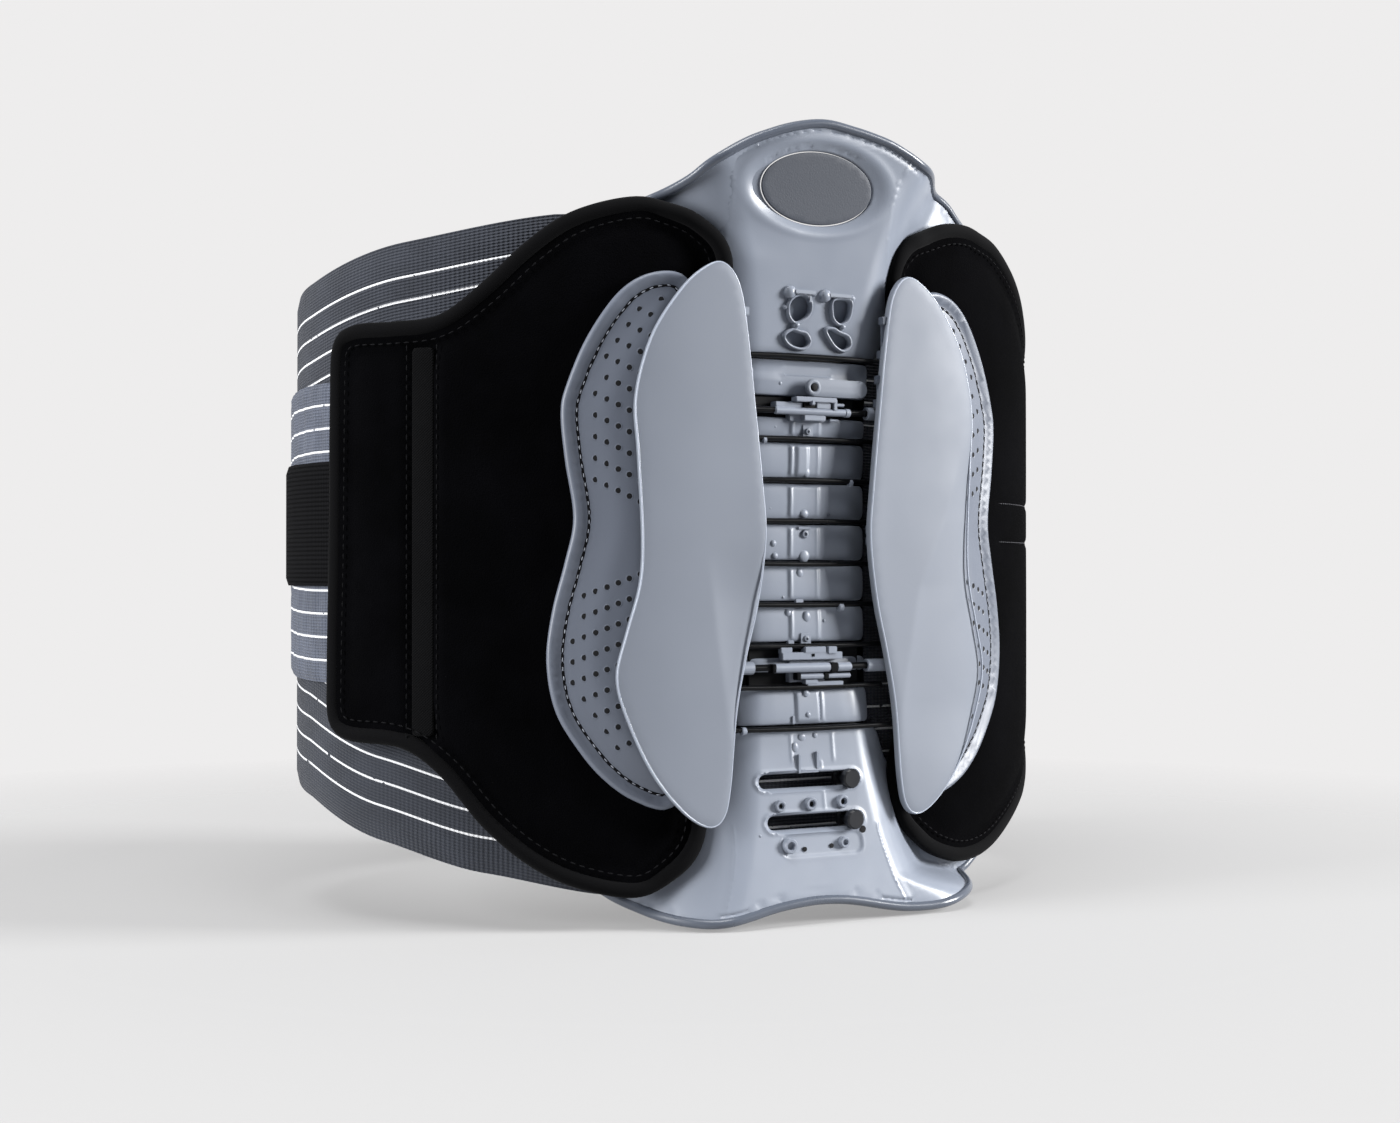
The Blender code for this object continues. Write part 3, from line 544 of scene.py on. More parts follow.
def tube(name, points, radius, material, corners=12):
    """A round cord or bar along points in metres, with rounded ends."""
    p = np.asarray(points, float)
    along = np.gradient(p, axis=0)
    along /= np.linalg.norm(along, axis=1, keepdims=True)
    up = np.array([0.0, 0.0, 1.0]) if abs(along[0][2]) < 0.9 else np.array([1.0, 0.0, 0.0])
    side = np.cross(along, up)
    side /= np.linalg.norm(side, axis=1, keepdims=True)
    out = np.cross(side, along)
    turn = np.linspace(0, 2 * np.pi, corners, endpoint=False)
    ring = np.cos(turn)[None, :, None] * side[:, None, :] + np.sin(turn)[None, :, None] * out[:, None, :]
    body = p[:, None, :] + ring * radius * MM
    cap = radius * MM * 0.3
    first = p[0] + ring[0] * radius * MM * 0.65 - along[0] * cap
    last = p[-1] + ring[-1] * radius * MM * 0.65 + along[-1] * cap
    rows = np.concatenate([first[None], body, last[None]])
    index = np.arange(rows.shape[0] * corners).reshape(-1, corners)
    faces = np.stack(
        [index[:-1], index[1:], np.roll(index[1:], -1, 1), np.roll(index[:-1], -1, 1)], -1
    ).reshape(-1, 4).tolist()
    faces += [index[0].tolist(), index[-1][::-1].tolist()]
    return add_piece(name, rows.reshape(-1, 3), faces, material)


def join(name, objects):
    """One piece from several."""
    bpy.ops.object.select_all(action="DESELECT")
    for obj in objects:
        obj.select_set(True)
    bpy.context.view_layer.objects.active = objects[0]
    bpy.ops.object.join()
    objects[0].name = name
    objects[0].data.name = name
    return objects[0]


def settle(obj, body, slot, *nodes):
    """The piece rides on its body and stands for CAD nodes; the slot argument is not used."""
    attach(obj, body)
    if nodes:
        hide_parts(*nodes)
    return obj


# ---------------------------------------------------------------- finishes
def shader_of(name, colour, roughness, **sockets):
    material = bpy.data.materials.new(name)
    material.use_nodes = True
    shader = material.node_tree.nodes["Principled BSDF"]
    shader.inputs["Base Color"].default_value = (*colour, 1)
    shader.inputs["Roughness"].default_value = roughness
    for socket, value in sockets.items():
        shader.inputs[socket.replace("_", " ")].default_value = value
    return material, material.node_tree, shader


def noise(tree, coords, scale, detail=2.0, roughness=0.5):
    node = tree.nodes.new("ShaderNodeTexNoise")
    node.inputs["Scale"].default_value = scale
    node.inputs["Detail"].default_value = detail
    node.inputs["Roughness"].default_value = roughness
    tree.links.new(coords, node.inputs["Vector"])
    return node.outputs["Fac"]


def spread(tree, value, low, high, from_low=0.3, from_high=0.7):
    """Maps a value to a range."""
    node = tree.nodes.new("ShaderNodeMapRange")
    for socket, number in (("From Min", from_low), ("From Max", from_high), ("To Min", low),
            ("To Max", high)):
        node.inputs[socket].default_value = number
    tree.links.new(value, node.inputs["Value"])
    return node.outputs["Result"]


def mix_colours(tree, factor, a, b):
    """A colour between a and b, each a colour or a socket."""
    mix = tree.nodes.new("ShaderNodeMix")
    mix.data_type = "RGBA"
    sockets = [s for s in mix.inputs if s.type == "RGBA"]
    for socket, value in zip(sockets, (a, b)):
        if isinstance(value, bpy.types.NodeSocket):
            tree.links.new(value, socket)
        else:
            socket.default_value = (*value, 1)
    tree.links.new(factor, mix.inputs["Factor"])
    return [s for s in mix.outputs if s.type == "RGBA"][0]


def tint(tree, shader, value, colour, low, high):
    """Varies the base colour between two strengths."""
    result = mix_colours(tree, value, [c * low for c in colour], [c * high for c in colour])
    tree.links.new(result, shader.inputs["Base Color"])
    return result


def bump(tree, shader, heights, distance):
    node = tree.nodes.new("ShaderNodeBump")
    node.inputs["Distance"].default_value = distance
    tree.links.new(heights, node.inputs["Height"])
    tree.links.new(node.outputs["Normal"], shader.inputs["Normal"])


def maths(tree, operation, *values):
    node = tree.nodes.new("ShaderNodeMath")
    node.operation = operation
    for socket, value in zip(node.inputs, values):
        if isinstance(value, (int, float)):
            socket.default_value = value
        else:
            tree.links.new(value, socket)
    return node.outputs[0]


def wave(tree, value, pitch):
    return maths(tree, "SINE", maths(tree, "MULTIPLY", value, 2 * math.pi / pitch))


def object_coords(tree):
    return tree.nodes.new("ShaderNodeTexCoord").outputs["Object"]


def pattern_coords(tree):
    """The flat pattern's two coordinates, and both as a vector."""
    node = tree.nodes.new("ShaderNodeUVMap")
    node.uv_map = "pattern"
    split = tree.nodes.new("ShaderNodeSeparateXYZ")
    tree.links.new(node.outputs["UV"], split.inputs[0])
    return split.outputs[0], split.outputs[1], node.outputs["UV"]


def moulded(name, colour, roughness, grain=0.000012, coat=0.0, shine=0.45):
    """Satin moulded plastic with a faint cloudiness and a fine eroded grain."""
    material, tree, shader = shader_of(
        name, colour, roughness, Coat_Weight=coat, Coat_Roughness=0.22, Specular_IOR_Level=shine
    )
    coords = object_coords(tree)
    tint(tree, shader, noise(tree, coords, 22, 3), colour, 0.93, 1.06)
    rough = spread(tree, noise(tree, coords, 60, 4), roughness - 0.04, roughness + 0.05)
    tree.links.new(rough, shader.inputs["Roughness"])
    bump(tree, shader, noise(tree, coords, 1500, 2), grain)
    return material


def brushed_fabric(name, colour):
    """Short brushed pile with soft lighter streaks."""
    material, tree, shader = shader_of(
        name, colour, 0.95, Sheen_Weight=0.008, Sheen_Roughness=0.45, Specular_IOR_Level=0.015
    )
    coords = object_coords(tree)
    soft = noise(tree, coords, 30, 5, 0.6)
    tint(tree, shader, spread(tree, soft, 0, 1), colour, 0.6, 1.7)
    pile = noise(tree, coords, 1700, 2)
    bump(tree, shader, maths(tree, "ADD", pile, maths(tree, "MULTIPLY", soft, 0.8)), 0.0003)
    return material


def woven(name, colour, pitch_s, pitch_z, depth, sheen=0.1, roughness=0.9, shine=0.15):
    """Plain weave that follows the flat pattern."""
    material, tree, shader = shader_of(
        name, colour, roughness, Sheen_Weight=sheen, Specular_IOR_Level=shine
    )
    u, v, coords = pattern_coords(tree)
    weave = maths(tree, "MULTIPLY", wave(tree, u, pitch_s * MM), wave(tree, v, pitch_z * MM))
    shade = maths(tree, "ADD", maths(tree, "MULTIPLY", weave, 0.3), noise(tree, coords, 40, 3))
    tint(tree, shader, shade, colour, 0.65, 1.5)
    bump(tree, shader, weave, depth)
    return material


def ribbed_webbing(name, colour):
    """Webbing with ribs across its width."""
    material, tree, shader = shader_of(name, colour, 0.9, Specular_IOR_Level=0.04)
    u, v, _ = pattern_coords(tree)
    ribs = maths(tree, "ABSOLUTE", wave(tree, v, 3.6 * MM))
    yarn = maths(tree, "MULTIPLY", wave(tree, u, 1.1 * MM), 0.25)
    height = maths(tree, "ADD", ribs, yarn)
    tint(tree, shader, spread(tree, height, 0, 1, 0, 1), colour, 0.5, 1.9)
    bump(tree, shader, height, 0.0004)
    return material


STRIPE_FIRST = 14.0
STRIPE_PITCH = 9.4
STRIPE_LAST = 80.0
STRIPE_HALF = 0.46
STRAP_LIGHTER = 2.9
# How much lighter than the wings the edge bead is painted, as a highlight
LIP_HIGHLIGHT = 1.9


def ribbed_elastic(name, colour, stripe, first=STRIPE_FIRST):
    """Knitted elastic: fine ribs both ways, and thin light yarns at a pitch from each edge."""
    material, tree, shader = shader_of(name, colour, 0.85, Sheen_Weight=0.15, Specular_IOR_Level=0.25)
    edge = tree.nodes.new("ShaderNodeAttribute")
    edge.attribute_name = "from_edge"
    depth_in = edge.outputs["Fac"]
    u, _, coords = pattern_coords(tree)
    ribs = wave(tree, depth_in, 1.25)
    knit = wave(tree, u, 1.9 * MM)
    patches = spread(tree, noise(tree, coords, 14, 2), 0, 1)
    cross = maths(tree, "MULTIPLY", knit, patches)
    shade = maths(tree, "ADD", maths(tree, "MULTIPLY", ribs, 0.16), maths(tree, "MULTIPLY", cross, 0.12))
    shade = maths(tree, "ADD", shade, noise(tree, coords, 60, 3))
    base = mix_colours(tree, shade, [c * 0.6 for c in colour], [c * 1.4 for c in colour])
    offset = maths(tree, "SUBTRACT", depth_in, first - STRIPE_PITCH / 2)
    place_in = maths(tree, "SUBTRACT", maths(tree, "MODULO", offset, STRIPE_PITCH), STRIPE_PITCH / 2)
    line = maths(tree, "LESS_THAN", maths(tree, "ABSOLUTE", place_in), STRIPE_HALF)
    line = maths(tree, "MULTIPLY", line, maths(tree, "GREATER_THAN", depth_in, first - 2))
    line = maths(tree, "MULTIPLY", line, maths(tree, "LESS_THAN", depth_in, STRIPE_LAST))
    whole = maths(tree, "GREATER_THAN", noise(tree, coords, 220, 2), 0.33)
    line = maths(tree, "MULTIPLY", line, whole)
    tree.links.new(mix_colours(tree, line, base, stripe), shader.inputs["Base Color"])
    height = maths(tree, "ADD", ribs, maths(tree, "MULTIPLY", line, 1.5))
    bump(tree, shader, maths(tree, "ADD", height, maths(tree, "MULTIPLY", cross, 0.8)), 0.00016)
    return material


# ---------------------------------------------------------------- repeated shapes by geometry nodes
def start_tree(name, inputs):
    """A node tree with a geometry input and named sizes: the tree and the sizes' identifiers."""
    tree = bpy.data.node_groups.new(name, "GeometryNodeTree")
    tree.interface.new_socket("Places", in_out="INPUT", socket_type="NodeSocketGeometry")
    names = {}
    for label, kind, default in inputs:
        socket = tree.interface.new_socket(label, in_out="INPUT", socket_type=kind)
        if default is not None:
            socket.default_value = default
        names[label] = socket.identifier
    tree.interface.new_socket("Result", in_out="OUTPUT", socket_type="NodeSocketGeometry")
    return tree, names


def end_tree(tree, instances, material):
    real = tree.nodes.new("GeometryNodeRealizeInstances")
    dress = tree.nodes.new("GeometryNodeSetMaterial")
    dress.inputs["Material"].default_value = material
    result = tree.nodes.new("NodeGroupOutput")
    tree.links.new(instances, real.inputs[0])
    tree.links.new(real.outputs[0], dress.inputs["Geometry"])
    tree.links.new(dress.outputs[0], result.inputs[0])


def stitch_tree(material):
    """Stitches of one pitch, length and thickness along curves."""
    tree, names = start_tree(
        "stitches",
        [
            ("Pitch", "NodeSocketFloat", 0.0032),
            ("Length", "NodeSocketFloat", 0.0023),
            ("Thickness", "NodeSocketFloat", 0.0005),
        ],
    )
    given = tree.nodes.new("NodeGroupInput")
    curve = tree.nodes.new("GeometryNodeResampleCurve")
    curve.mode = "LENGTH"
    stitch = tree.nodes.new("GeometryNodeMeshIcoSphere")
    stitch.inputs["Subdivisions"].default_value = 1
    stitch.inputs["Radius"].default_value = 0.5
    size = tree.nodes.new("ShaderNodeCombineXYZ")
    aim = tree.nodes.new("FunctionNodeAlignRotationToVector")
    aim.axis = "Z"
    along = tree.nodes.new("GeometryNodeInputTangent")
    instances = tree.nodes.new("GeometryNodeInstanceOnPoints")
    link = tree.links.new
    link(given.outputs["Places"], curve.inputs["Curve"])
    link(given.outputs["Pitch"], curve.inputs["Length"])
    link(curve.outputs[0], instances.inputs["Points"])
    link(stitch.outputs[0], instances.inputs["Instance"])
    link(along.outputs[0], aim.inputs["Vector"])
    link(aim.outputs[0], instances.inputs["Rotation"])
    link(given.outputs["Thickness"], size.inputs[0])
    link(given.outputs["Thickness"], size.inputs[1])
    link(given.outputs["Length"], size.inputs[2])
    link(size.outputs[0], instances.inputs["Scale"])
    end_tree(tree, instances.outputs[0], material)
    return tree, names


def stamp_tree(material):
    """One small shape set on points, its axis along each point's outward direction."""
    tree, names = start_tree(
        "stamps", [("Shape", "NodeSocketObject", None), ("Scale", "NodeSocketFloat", 1.0)]
    )
    given = tree.nodes.new("NodeGroupInput")
    info = tree.nodes.new("GeometryNodeObjectInfo")
    out = tree.nodes.new("GeometryNodeInputNamedAttribute")
    out.data_type = "FLOAT_VECTOR"
    out.inputs["Name"].default_value = "out"
    turn = tree.nodes.new("GeometryNodeInputNamedAttribute")
    turn.data_type = "FLOAT_VECTOR"
    turn.inputs["Name"].default_value = "along"
    size = tree.nodes.new("GeometryNodeInputNamedAttribute")
    size.data_type = "FLOAT_VECTOR"
    size.inputs["Name"].default_value = "size"
    aim = tree.nodes.new("FunctionNodeAlignRotationToVector")
    aim.axis = "Z"
    aim_too = tree.nodes.new("FunctionNodeAlignRotationToVector")
    aim_too.axis = "X"
    aim_too.pivot_axis = "Z"
    scale = tree.nodes.new("ShaderNodeVectorMath")
    scale.operation = "SCALE"
    instances = tree.nodes.new("GeometryNodeInstanceOnPoints")
    link = tree.links.new
    link(given.outputs["Shape"], info.inputs["Object"])
    link(given.outputs["Places"], instances.inputs["Points"])
    link(info.outputs["Geometry"], instances.inputs["Instance"])
    link(out.outputs[0], aim.inputs["Vector"])
    link(aim.outputs[0], aim_too.inputs["Rotation"])
    link(turn.outputs[0], aim_too.inputs["Vector"])
    link(aim_too.outputs[0], instances.inputs["Rotation"])
    link(size.outputs[0], scale.inputs[0])
    link(given.outputs["Scale"], scale.inputs["Scale"])
    link(scale.outputs[0], instances.inputs["Scale"])
    end_tree(tree, instances.outputs[0], material)
    return tree, names


def run_tree(carrier, tree, values, name, crisp=40):
    """The plain mesh that a tree makes of its carrier, which is then removed."""
    modifier = carrier.modifiers.new("nodes", "NODES")
    modifier.node_group = tree
    for identifier, value in values.items():
        modifier[identifier] = value
    graph = bpy.context.evaluated_depsgraph_get()
    graph.update()
    mesh = bpy.data.meshes.new_from_object(carrier.evaluated_get(graph))
    for attribute in [a.name for a in mesh.attributes if a.name in ("out", "along", "size")]:
        mesh.attributes.remove(mesh.attributes[attribute])
    carrier.modifiers.remove(modifier)
    bpy.data.objects.remove(carrier)
    mesh.name = name
    mesh.shade_smooth()
    mesh.set_sharp_from_angle(angle=math.radians(crisp))
    return link_object(name, mesh)


def stitches(name, paths, material, pitch=3.2, length=2.3, thick=0.55):
    """Rows of stitches: each path is (points in metres, whether it is closed)."""
    curve = bpy.data.curves.new(name + "_path", "CURVE")
    curve.dimensions = "3D"
    for points, closed in paths:
        spline = curve.splines.new("POLY")
        spline.points.add(len(points) - 1)
        flat = np.hstack([points, np.ones((len(points), 1))]).astype(np.float32)
        spline.points.foreach_set("co", flat.ravel())
        spline.use_cyclic_u = closed
    tree, names = stitch_tree(material)
    values = {names["Pitch"]: pitch * MM, names["Length"]: length * MM, names["Thickness"]: thick * MM}
    return run_tree(link_object(name + "_path", curve), tree, values, name)


def stamps(name, shape, places, material, crisp=40):
    """A shape made in millimetres, stamped at (s, z, d, size, degrees) on the belt's faces."""
    s, z, d = (np.array([p[k] for p in places], float) for k in range(3))
    sizes = np.array([np.broadcast_to(p[3] if len(p) > 3 else 1.0, 3) for p in places], float)
    angles = np.radians([p[4] if len(p) > 4 else 0.0 for p in places])
    points, out = place(s, z, d), outward(s)
    across_belt = place(s + 0.5, z, d) - points
    across_belt -= out * np.sum(across_belt * out, -1, keepdims=True)
    across_belt /= np.linalg.norm(across_belt, axis=-1, keepdims=True)
    up = np.cross(out, across_belt)
    along = across_belt * np.cos(angles)[:, None] + up * np.sin(angles)[:, None]
    mesh = bpy.data.meshes.new(name + "_places")
    mesh.from_pydata(points.tolist(), [], [])
    for label, values in (("out", out), ("along", along), ("size", sizes)):
        attribute = mesh.attributes.new(label, "FLOAT_VECTOR", "POINT")
        attribute.data.foreach_set("vector", values.astype(np.float32).ravel())
    tree, names = stamp_tree(material)
    made = run_tree(link_object(name + "_places", mesh), tree, {names["Shape"]: shape, names["Scale"]: MM},
        name, crisp)
    bpy.data.objects.remove(shape)
    return made


def lathe(profile, sides=14):
    """A shape turned about Z from (radius, height) pairs that start and end on the axis, in millimetres."""
    turn = np.linspace(0, 2 * np.pi, sides, endpoint=False)
    points, rings = [], []
    for radius, height in profile:
        if radius < 1e-6:
            rings.append([len(points)])
            points.append((0, 0, height))
        else:
            rings.append(list(range(len(points), len(points) + sides)))
            points += [(radius * math.cos(a), radius * math.sin(a), height) for a in turn]
    faces = []
    for low, high in zip(rings, rings[1:]):
        for k in range(sides):
            j = (k + 1) % sides
            quad = [low[k % len(low)], low[j % len(low)], high[j % len(high)], high[k % len(high)]]
            faces.append(list(dict.fromkeys(quad)))
    mesh = bpy.data.meshes.new("turned")
    mesh.from_pydata(points, [], faces)
    shape = bmesh.new()
    shape.from_mesh(mesh)
    bmesh.ops.recalc_face_normals(shape, faces=shape.faces)
    shape.to_mesh(mesh)
    shape.free()
    return link_object("turned", mesh)


def seg_middle(n):
    """Height of a segment's middle."""
    return SPINE_TOP - SPINE_PITCH * (n + 0.5)


def blocks(name, rows, finish, bevel=0.25):
    """Blocks on the spine's flat face: each is (x0, x1, z0, z1, from and to heights off the face)."""
    mesh = bpy.data.meshes.new(name)
    whole = bmesh.new()
    for x0, x1, z0, z1, d0, d1 in rows:
        face = float(column_face((z0 + z1) / 2))
        y0, y1 = column_y(face + d1), column_y(face + d0)
        part = bmesh.new()
        bmesh.ops.create_cube(part, size=1)
        for v in part.verts:
            v.co = Vector((
                ((x0 + x1) / 2 + v.co.x * (x1 - x0)) * MM,
                (y0 + y1) / 2 + v.co.y * (y1 - y0),
                ((z0 + z1) / 2 + v.co.z * (z1 - z0)) * MM,
            ))
        size = min(x1 - x0, z1 - z0, d1 - d0)
        bmesh.ops.bevel(part, geom=part.edges[:], offset=min(bevel, size * 0.3) * MM, segments=2,
            affect="EDGES")
        copy = bpy.data.meshes.new("part")
        part.to_mesh(copy)
        part.free()
        whole.from_mesh(copy)
        bpy.data.meshes.remove(copy)
    whole.to_mesh(mesh)
    whole.free()
    mesh.materials.append(FINISH[finish])
    mesh.shade_smooth()
    mesh.set_sharp_from_angle(angle=math.radians(35))
    return link_object(name, mesh)


def bars(name, rows, finish, corners=14):
    """Round bars across the spine: each is (x0, x1, z, height of its middle off the face, radius)."""
    made = []
    for n, (x0, x1, z, height, radius) in enumerate(rows):
        y = column_y(float(column_face(z)) + height)
        ends = [(x * MM, y, z * MM) for x in np.linspace(x0, x1, 4)]
        made.append(tube(f"{name}_{n}", ends, radius, FINISH[finish], corners))
    return join(name, made)


def face_marks(name, shape, rows, finish):
    """Small turned shapes on the spine: each is (x, z, height off the face, size, degrees)."""
    places = []
    for x, z, height, size, *turn in rows:
        s, z, d = column_place(x, z, height)
        places.append((s, z, d, size, turn[0] if turn else 0.0))
    return stamps(name, shape, places, FINISH[finish])


def dome_shape(radius=1.0, rise=0.6):
    arc = [(radius * math.cos(a), rise * math.sin(a)) for a in np.linspace(0, math.pi / 2, 5)]
    return lathe([(0, -0.6), (radius, -0.6)] + [(r if r > 1e-3 else 0, h) for r, h in arc], 16)


def ring_shape():
    """A boss with a dished top."""
    return lathe(
        [(0, -0.5), (1.0, -0.5), (1.0, 0.5), (0.88, 0.68), (0.62, 0.68), (0.5, 0.5), (0.45, 0.1), (0, 0.1)],
        18
    )


def screw_shape():
    """A pan head with a six-sided socket."""
    return lathe(
        [(0, -0.8), (0.6, -0.8), (0.6, 0.0), (1.0, 0.0), (1.0, 0.35), (0.8, 0.62), (0.45, 0.7), (0.4, 0.35),
            (0, 0.3)],
        18,
    )


# ---------------------------------------------------------------- settings
class BeltFinishes(bpy.types.PropertyGroup):
    shell: FloatVectorProperty(
        name="Shell", description="Colour of the moulded back shell", subtype="COLOR",
        default=(0.225, 0.25, 0.3)
    )
    wing: FloatVectorProperty(
        name="Wings", description="Colour of the wing covers", subtype="COLOR", default=(0.192, 0.212, 0.252)
    )
    rim: FloatVectorProperty(
        name="Rim", description="Colour of the shell's edging", subtype="COLOR", default=(0.085, 0.098, 0.125)
    )
    badge: FloatVectorProperty(
        name="Insert", description="Colour of the oval insert", subtype="COLOR", default=(0.04, 0.047, 0.064)
    )
    pad: FloatVectorProperty(
        name="Pads", description="Colour of the perforated pads", subtype="COLOR",
        default=(0.135, 0.152, 0.19)
    )
    fabric: FloatVectorProperty(
        name="Panels", description="Colour of the padded panels", subtype="COLOR",
        default=(0.0009, 0.0009, 0.0012)
    )
    elastic: FloatVectorProperty(
        name="Elastic", description="Colour of the elastic band", subtype="COLOR",
        default=(0.03, 0.034, 0.045)
    )
    stripe: FloatVectorProperty(
        name="Stripes", description="Colour of the yarns in the elastic", subtype="COLOR",
        default=(0.8, 0.81, 0.83)
    )
    black: FloatVectorProperty(
        name="Webbing", description="Colour of the webbing and laces", subtype="COLOR",
        default=(0.004, 0.004, 0.0045)
    )


class BeltSizes(bpy.types.PropertyGroup):
    stitch_pitch: FloatProperty(
        name="Stitch pitch", description="Distance from one stitch to the next", default=0.0032, unit="LENGTH"
    )
    hole_radius: FloatProperty(
        name="Hole radius", description="Radius of the pads' perforations", default=0.0011, unit="LENGTH"
    )
    key_power: FloatProperty(name="Key light", description="Power of the main softbox in watts",
        default=160.0)


FINISH = {}


def make_finishes(colours):
    FINISH["shell"] = moulded("moulded_shell", colours.shell, 0.34)
    FINISH["wing"] = moulded("moulded_wing", colours.wing, 0.5, shine=0.3)
    # Painted highlight: a lighter copy of the wing colour for the bead along the wing edges
    FINISH["lip"] = moulded("wing_lip_highlight", [c * LIP_HIGHLIGHT for c in colours.wing], 0.25, shine=0.6)
    FINISH["rim"] = moulded("rubber_rim", colours.rim, 0.28, coat=0.2)
    FINISH["badge"] = moulded("insert_plastic", colours.badge, 0.55, 0.00005)
    FINISH["pad"] = moulded("pad_skin", colours.pad, 0.4, 0.00003)
    # Painted shade: a near-black finish for flat discs that stand in for the shaded insides of holes
    FINISH["hole"] = moulded("painted_hole_shade", (0.003, 0.003, 0.004), 0.9)
    FINISH["fabric"] = brushed_fabric("brushed_panel", colours.fabric)
    FINISH["binding"] = woven("edge_binding", (0.0022, 0.0022, 0.0026), 1.1, 1.1, 0.0001, 0.02, 0.9, 0.06)
    FINISH["elastic"] = ribbed_elastic("ribbed_elastic", colours.elastic, colours.stripe)
    FINISH["strap"] = ribbed_elastic(
        "strap_elastic", [c * STRAP_LIGHTER for c in colours.elastic], colours.stripe, 9.0
    )
    FINISH["webbing"] = ribbed_webbing("ribbed_webbing", colours.black)
    FINISH["thread_black"] = moulded("black_thread", (0.004, 0.004, 0.005), 0.8, 0.00005, shine=0.12)
    FINISH["thread_mid"] = moulded("dim_thread", (0.07, 0.07, 0.08), 0.6, 0.00005)
    FINISH["thread_grey"] = moulded("grey_thread", (0.36, 0.385, 0.44), 0.6, 0.00005)
    FINISH["lace"] = moulded("coated_lace", (0.0025, 0.0027, 0.0034), 0.3, shine=0.16)
    FINISH["knob"] = moulded("black_knob", (0.008, 0.009, 0.012), 0.35, shine=0.4)
    FINISH["mesh"] = woven("spacer_mesh", (0.012, 0.012, 0.014), 3.2, 3.2, 0.0005)
    FINISH["hook"] = woven("hook_and_loop", (0.007, 0.007, 0.008), 1.8, 1.8, 0.0004)


def dress(node, finish):
    """A CAD node keeps its shape and takes a procedural finish."""
    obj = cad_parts[node]
    for slot in obj.material_slots:
        slot.material = FINISH[finish]
    if not obj.material_slots:
        obj.data.materials.append(FINISH[finish])


# ---------------------------------------------------------------- pieces
BADGE = (0.0, 292.0, 24.5, 14.0)
CREASES = {
    "top_left": [(-40.3, 304), (-37.4, 297), (-36.1, 288), (-36.6, 278.5), (-37.3, 271), (-38.5, 262)],
    "top_right": [(40.8, 305.8), (35.5, 298.6), (33.7, 288.5), (33.8, 276.6), (35.5, 264)],
    "low_left": [(-35, 38), (-35.3, 28.7), (-37.1, 19.4), (-41.7, 5.5)],
    "low_right": [(27.8, 35.2), (29.7, 26.4), (32.8, 14.3), (36.2, 6)],
}
SEAM_HALF = 0.4
FLANK_FALL = -3.0


def crease_at(name, z):
    """How far to the side a crease lies at height z."""
    points = sorted(CREASES[name], key=lambda p: p[1])
    heights, sides = [p[1] for p in points], [p[0] for p in points]
    return np.interp(z, heights, sides)


def crease_relief(s, z, name, side, fall, within):
    """The face breaks at a crease and falls away beyond it, with a thin raised seam on the line."""
    beyond = (s - crease_at(name, z)) * side
    seam = 0.3 * np.exp(-((beyond / SEAM_HALF) ** 2))
    past = np.maximum(beyond, 0)
    fold = -fall * smooth_step(beyond / 5) * np.exp(-past / 14) - 0.3 * (beyond > 0) * np.exp(-past / 1.2)
    return (seam + fold) * within


def upper_relief(s, z, distance):
    """A dished surround for the insert, creases beside the column and a groove under the rim."""
    away = (badge_ring(s, z) - 1) * 17
    dish = -1.7 * (1 - smooth_step(away / 5.0)) + 0.25 * np.exp(-(((away - 6.0) / 1.4) ** 2))
    within = smooth_step((z - 262) / 10)
    flank = FLANK_FALL * smooth_step((-s - 8) / 36) * smooth_step((z - 262) / 16)
    dish = dish + flank
    fold = crease_relief(s, z, "top_left", -1, 1.3, within) + crease_relief(s, z, "top_right", 1, 0.6, within)
    return dish + fold + under_rim(distance, s, z, UPPER_SHELL_EDGE)


def under_rim(distance, s, z, edge):
    """A narrow groove just inside the rim."""
    run = np.array(sorted(edge))
    near = np.abs(z - np.interp(s, run[:, 0], run[:, 1])) < 9
    return -0.7 * np.exp(-(((distance - 1.9) / 0.6) ** 2)) * near


def lower_relief(s, z, distance):
    """Creases, the tray under the slots, the slots' rims and the groove under the rim."""
    within = smooth_step((44 - z) / 8)
    fold = crease_relief(s, z, "low_left", -1, 1.0, within) + crease_relief(s, z, "low_right", 1, 0.5, within)
    plate_in = rounded_away(s, z, -16, 20, 26.3, 35.2, 3.4)
    tray = -0.5 * smooth_step((0.4 - plate_in) / 0.8) + 0.22 * np.exp(-((plate_in / 0.5) ** 2))
    rims = 0
    for x0, x1, level, half in SLOTS:
        off = rounded_away(s, z, x0, x1, level - half, level + half, half)
        rims = rims + 0.5 * np.exp(-(((off - 1.0) / 0.55) ** 2)) - 0.7 * smooth_step((0.5 - off) / 0.6)
    seam = 0.25 * np.exp(-(((s - 4.6) / 0.4) ** 2)) * smooth_step((z - 44) / 1) * smooth_step((64 - z) / 1)
    seam = seam * (np.abs(z - 56) > 4.4)
    sides = 0.35 * sum(np.exp(-(((s - c) / 0.5) ** 2)) for c in (-8.6, 10.4)) * smooth_step((z - 62) / 3)
    return fold + tray + rims + seam + sides + under_rim(distance, s, z, LOWER_SHELL_EDGE)


def rounded_away(x, z, x0, x1, z0, z1, radius):
    """Distance outside a box with round corners, negative within it."""
    dx = np.abs(x - (x0 + x1) / 2) - (x1 - x0) / 2 + radius
    dz = np.abs(z - (z0 + z1) / 2) - (z1 - z0) / 2 + radius
    return np.hypot(np.maximum(dx, 0), np.maximum(dz, 0)) + np.minimum(np.maximum(dx, dz), 0) - radius


def badge_ring(s, z):
    """How many times the badge's size a point is away from its middle."""
    return np.hypot((s - BADGE[0]) / BADGE[2], (z - BADGE[1]) / BADGE[3])


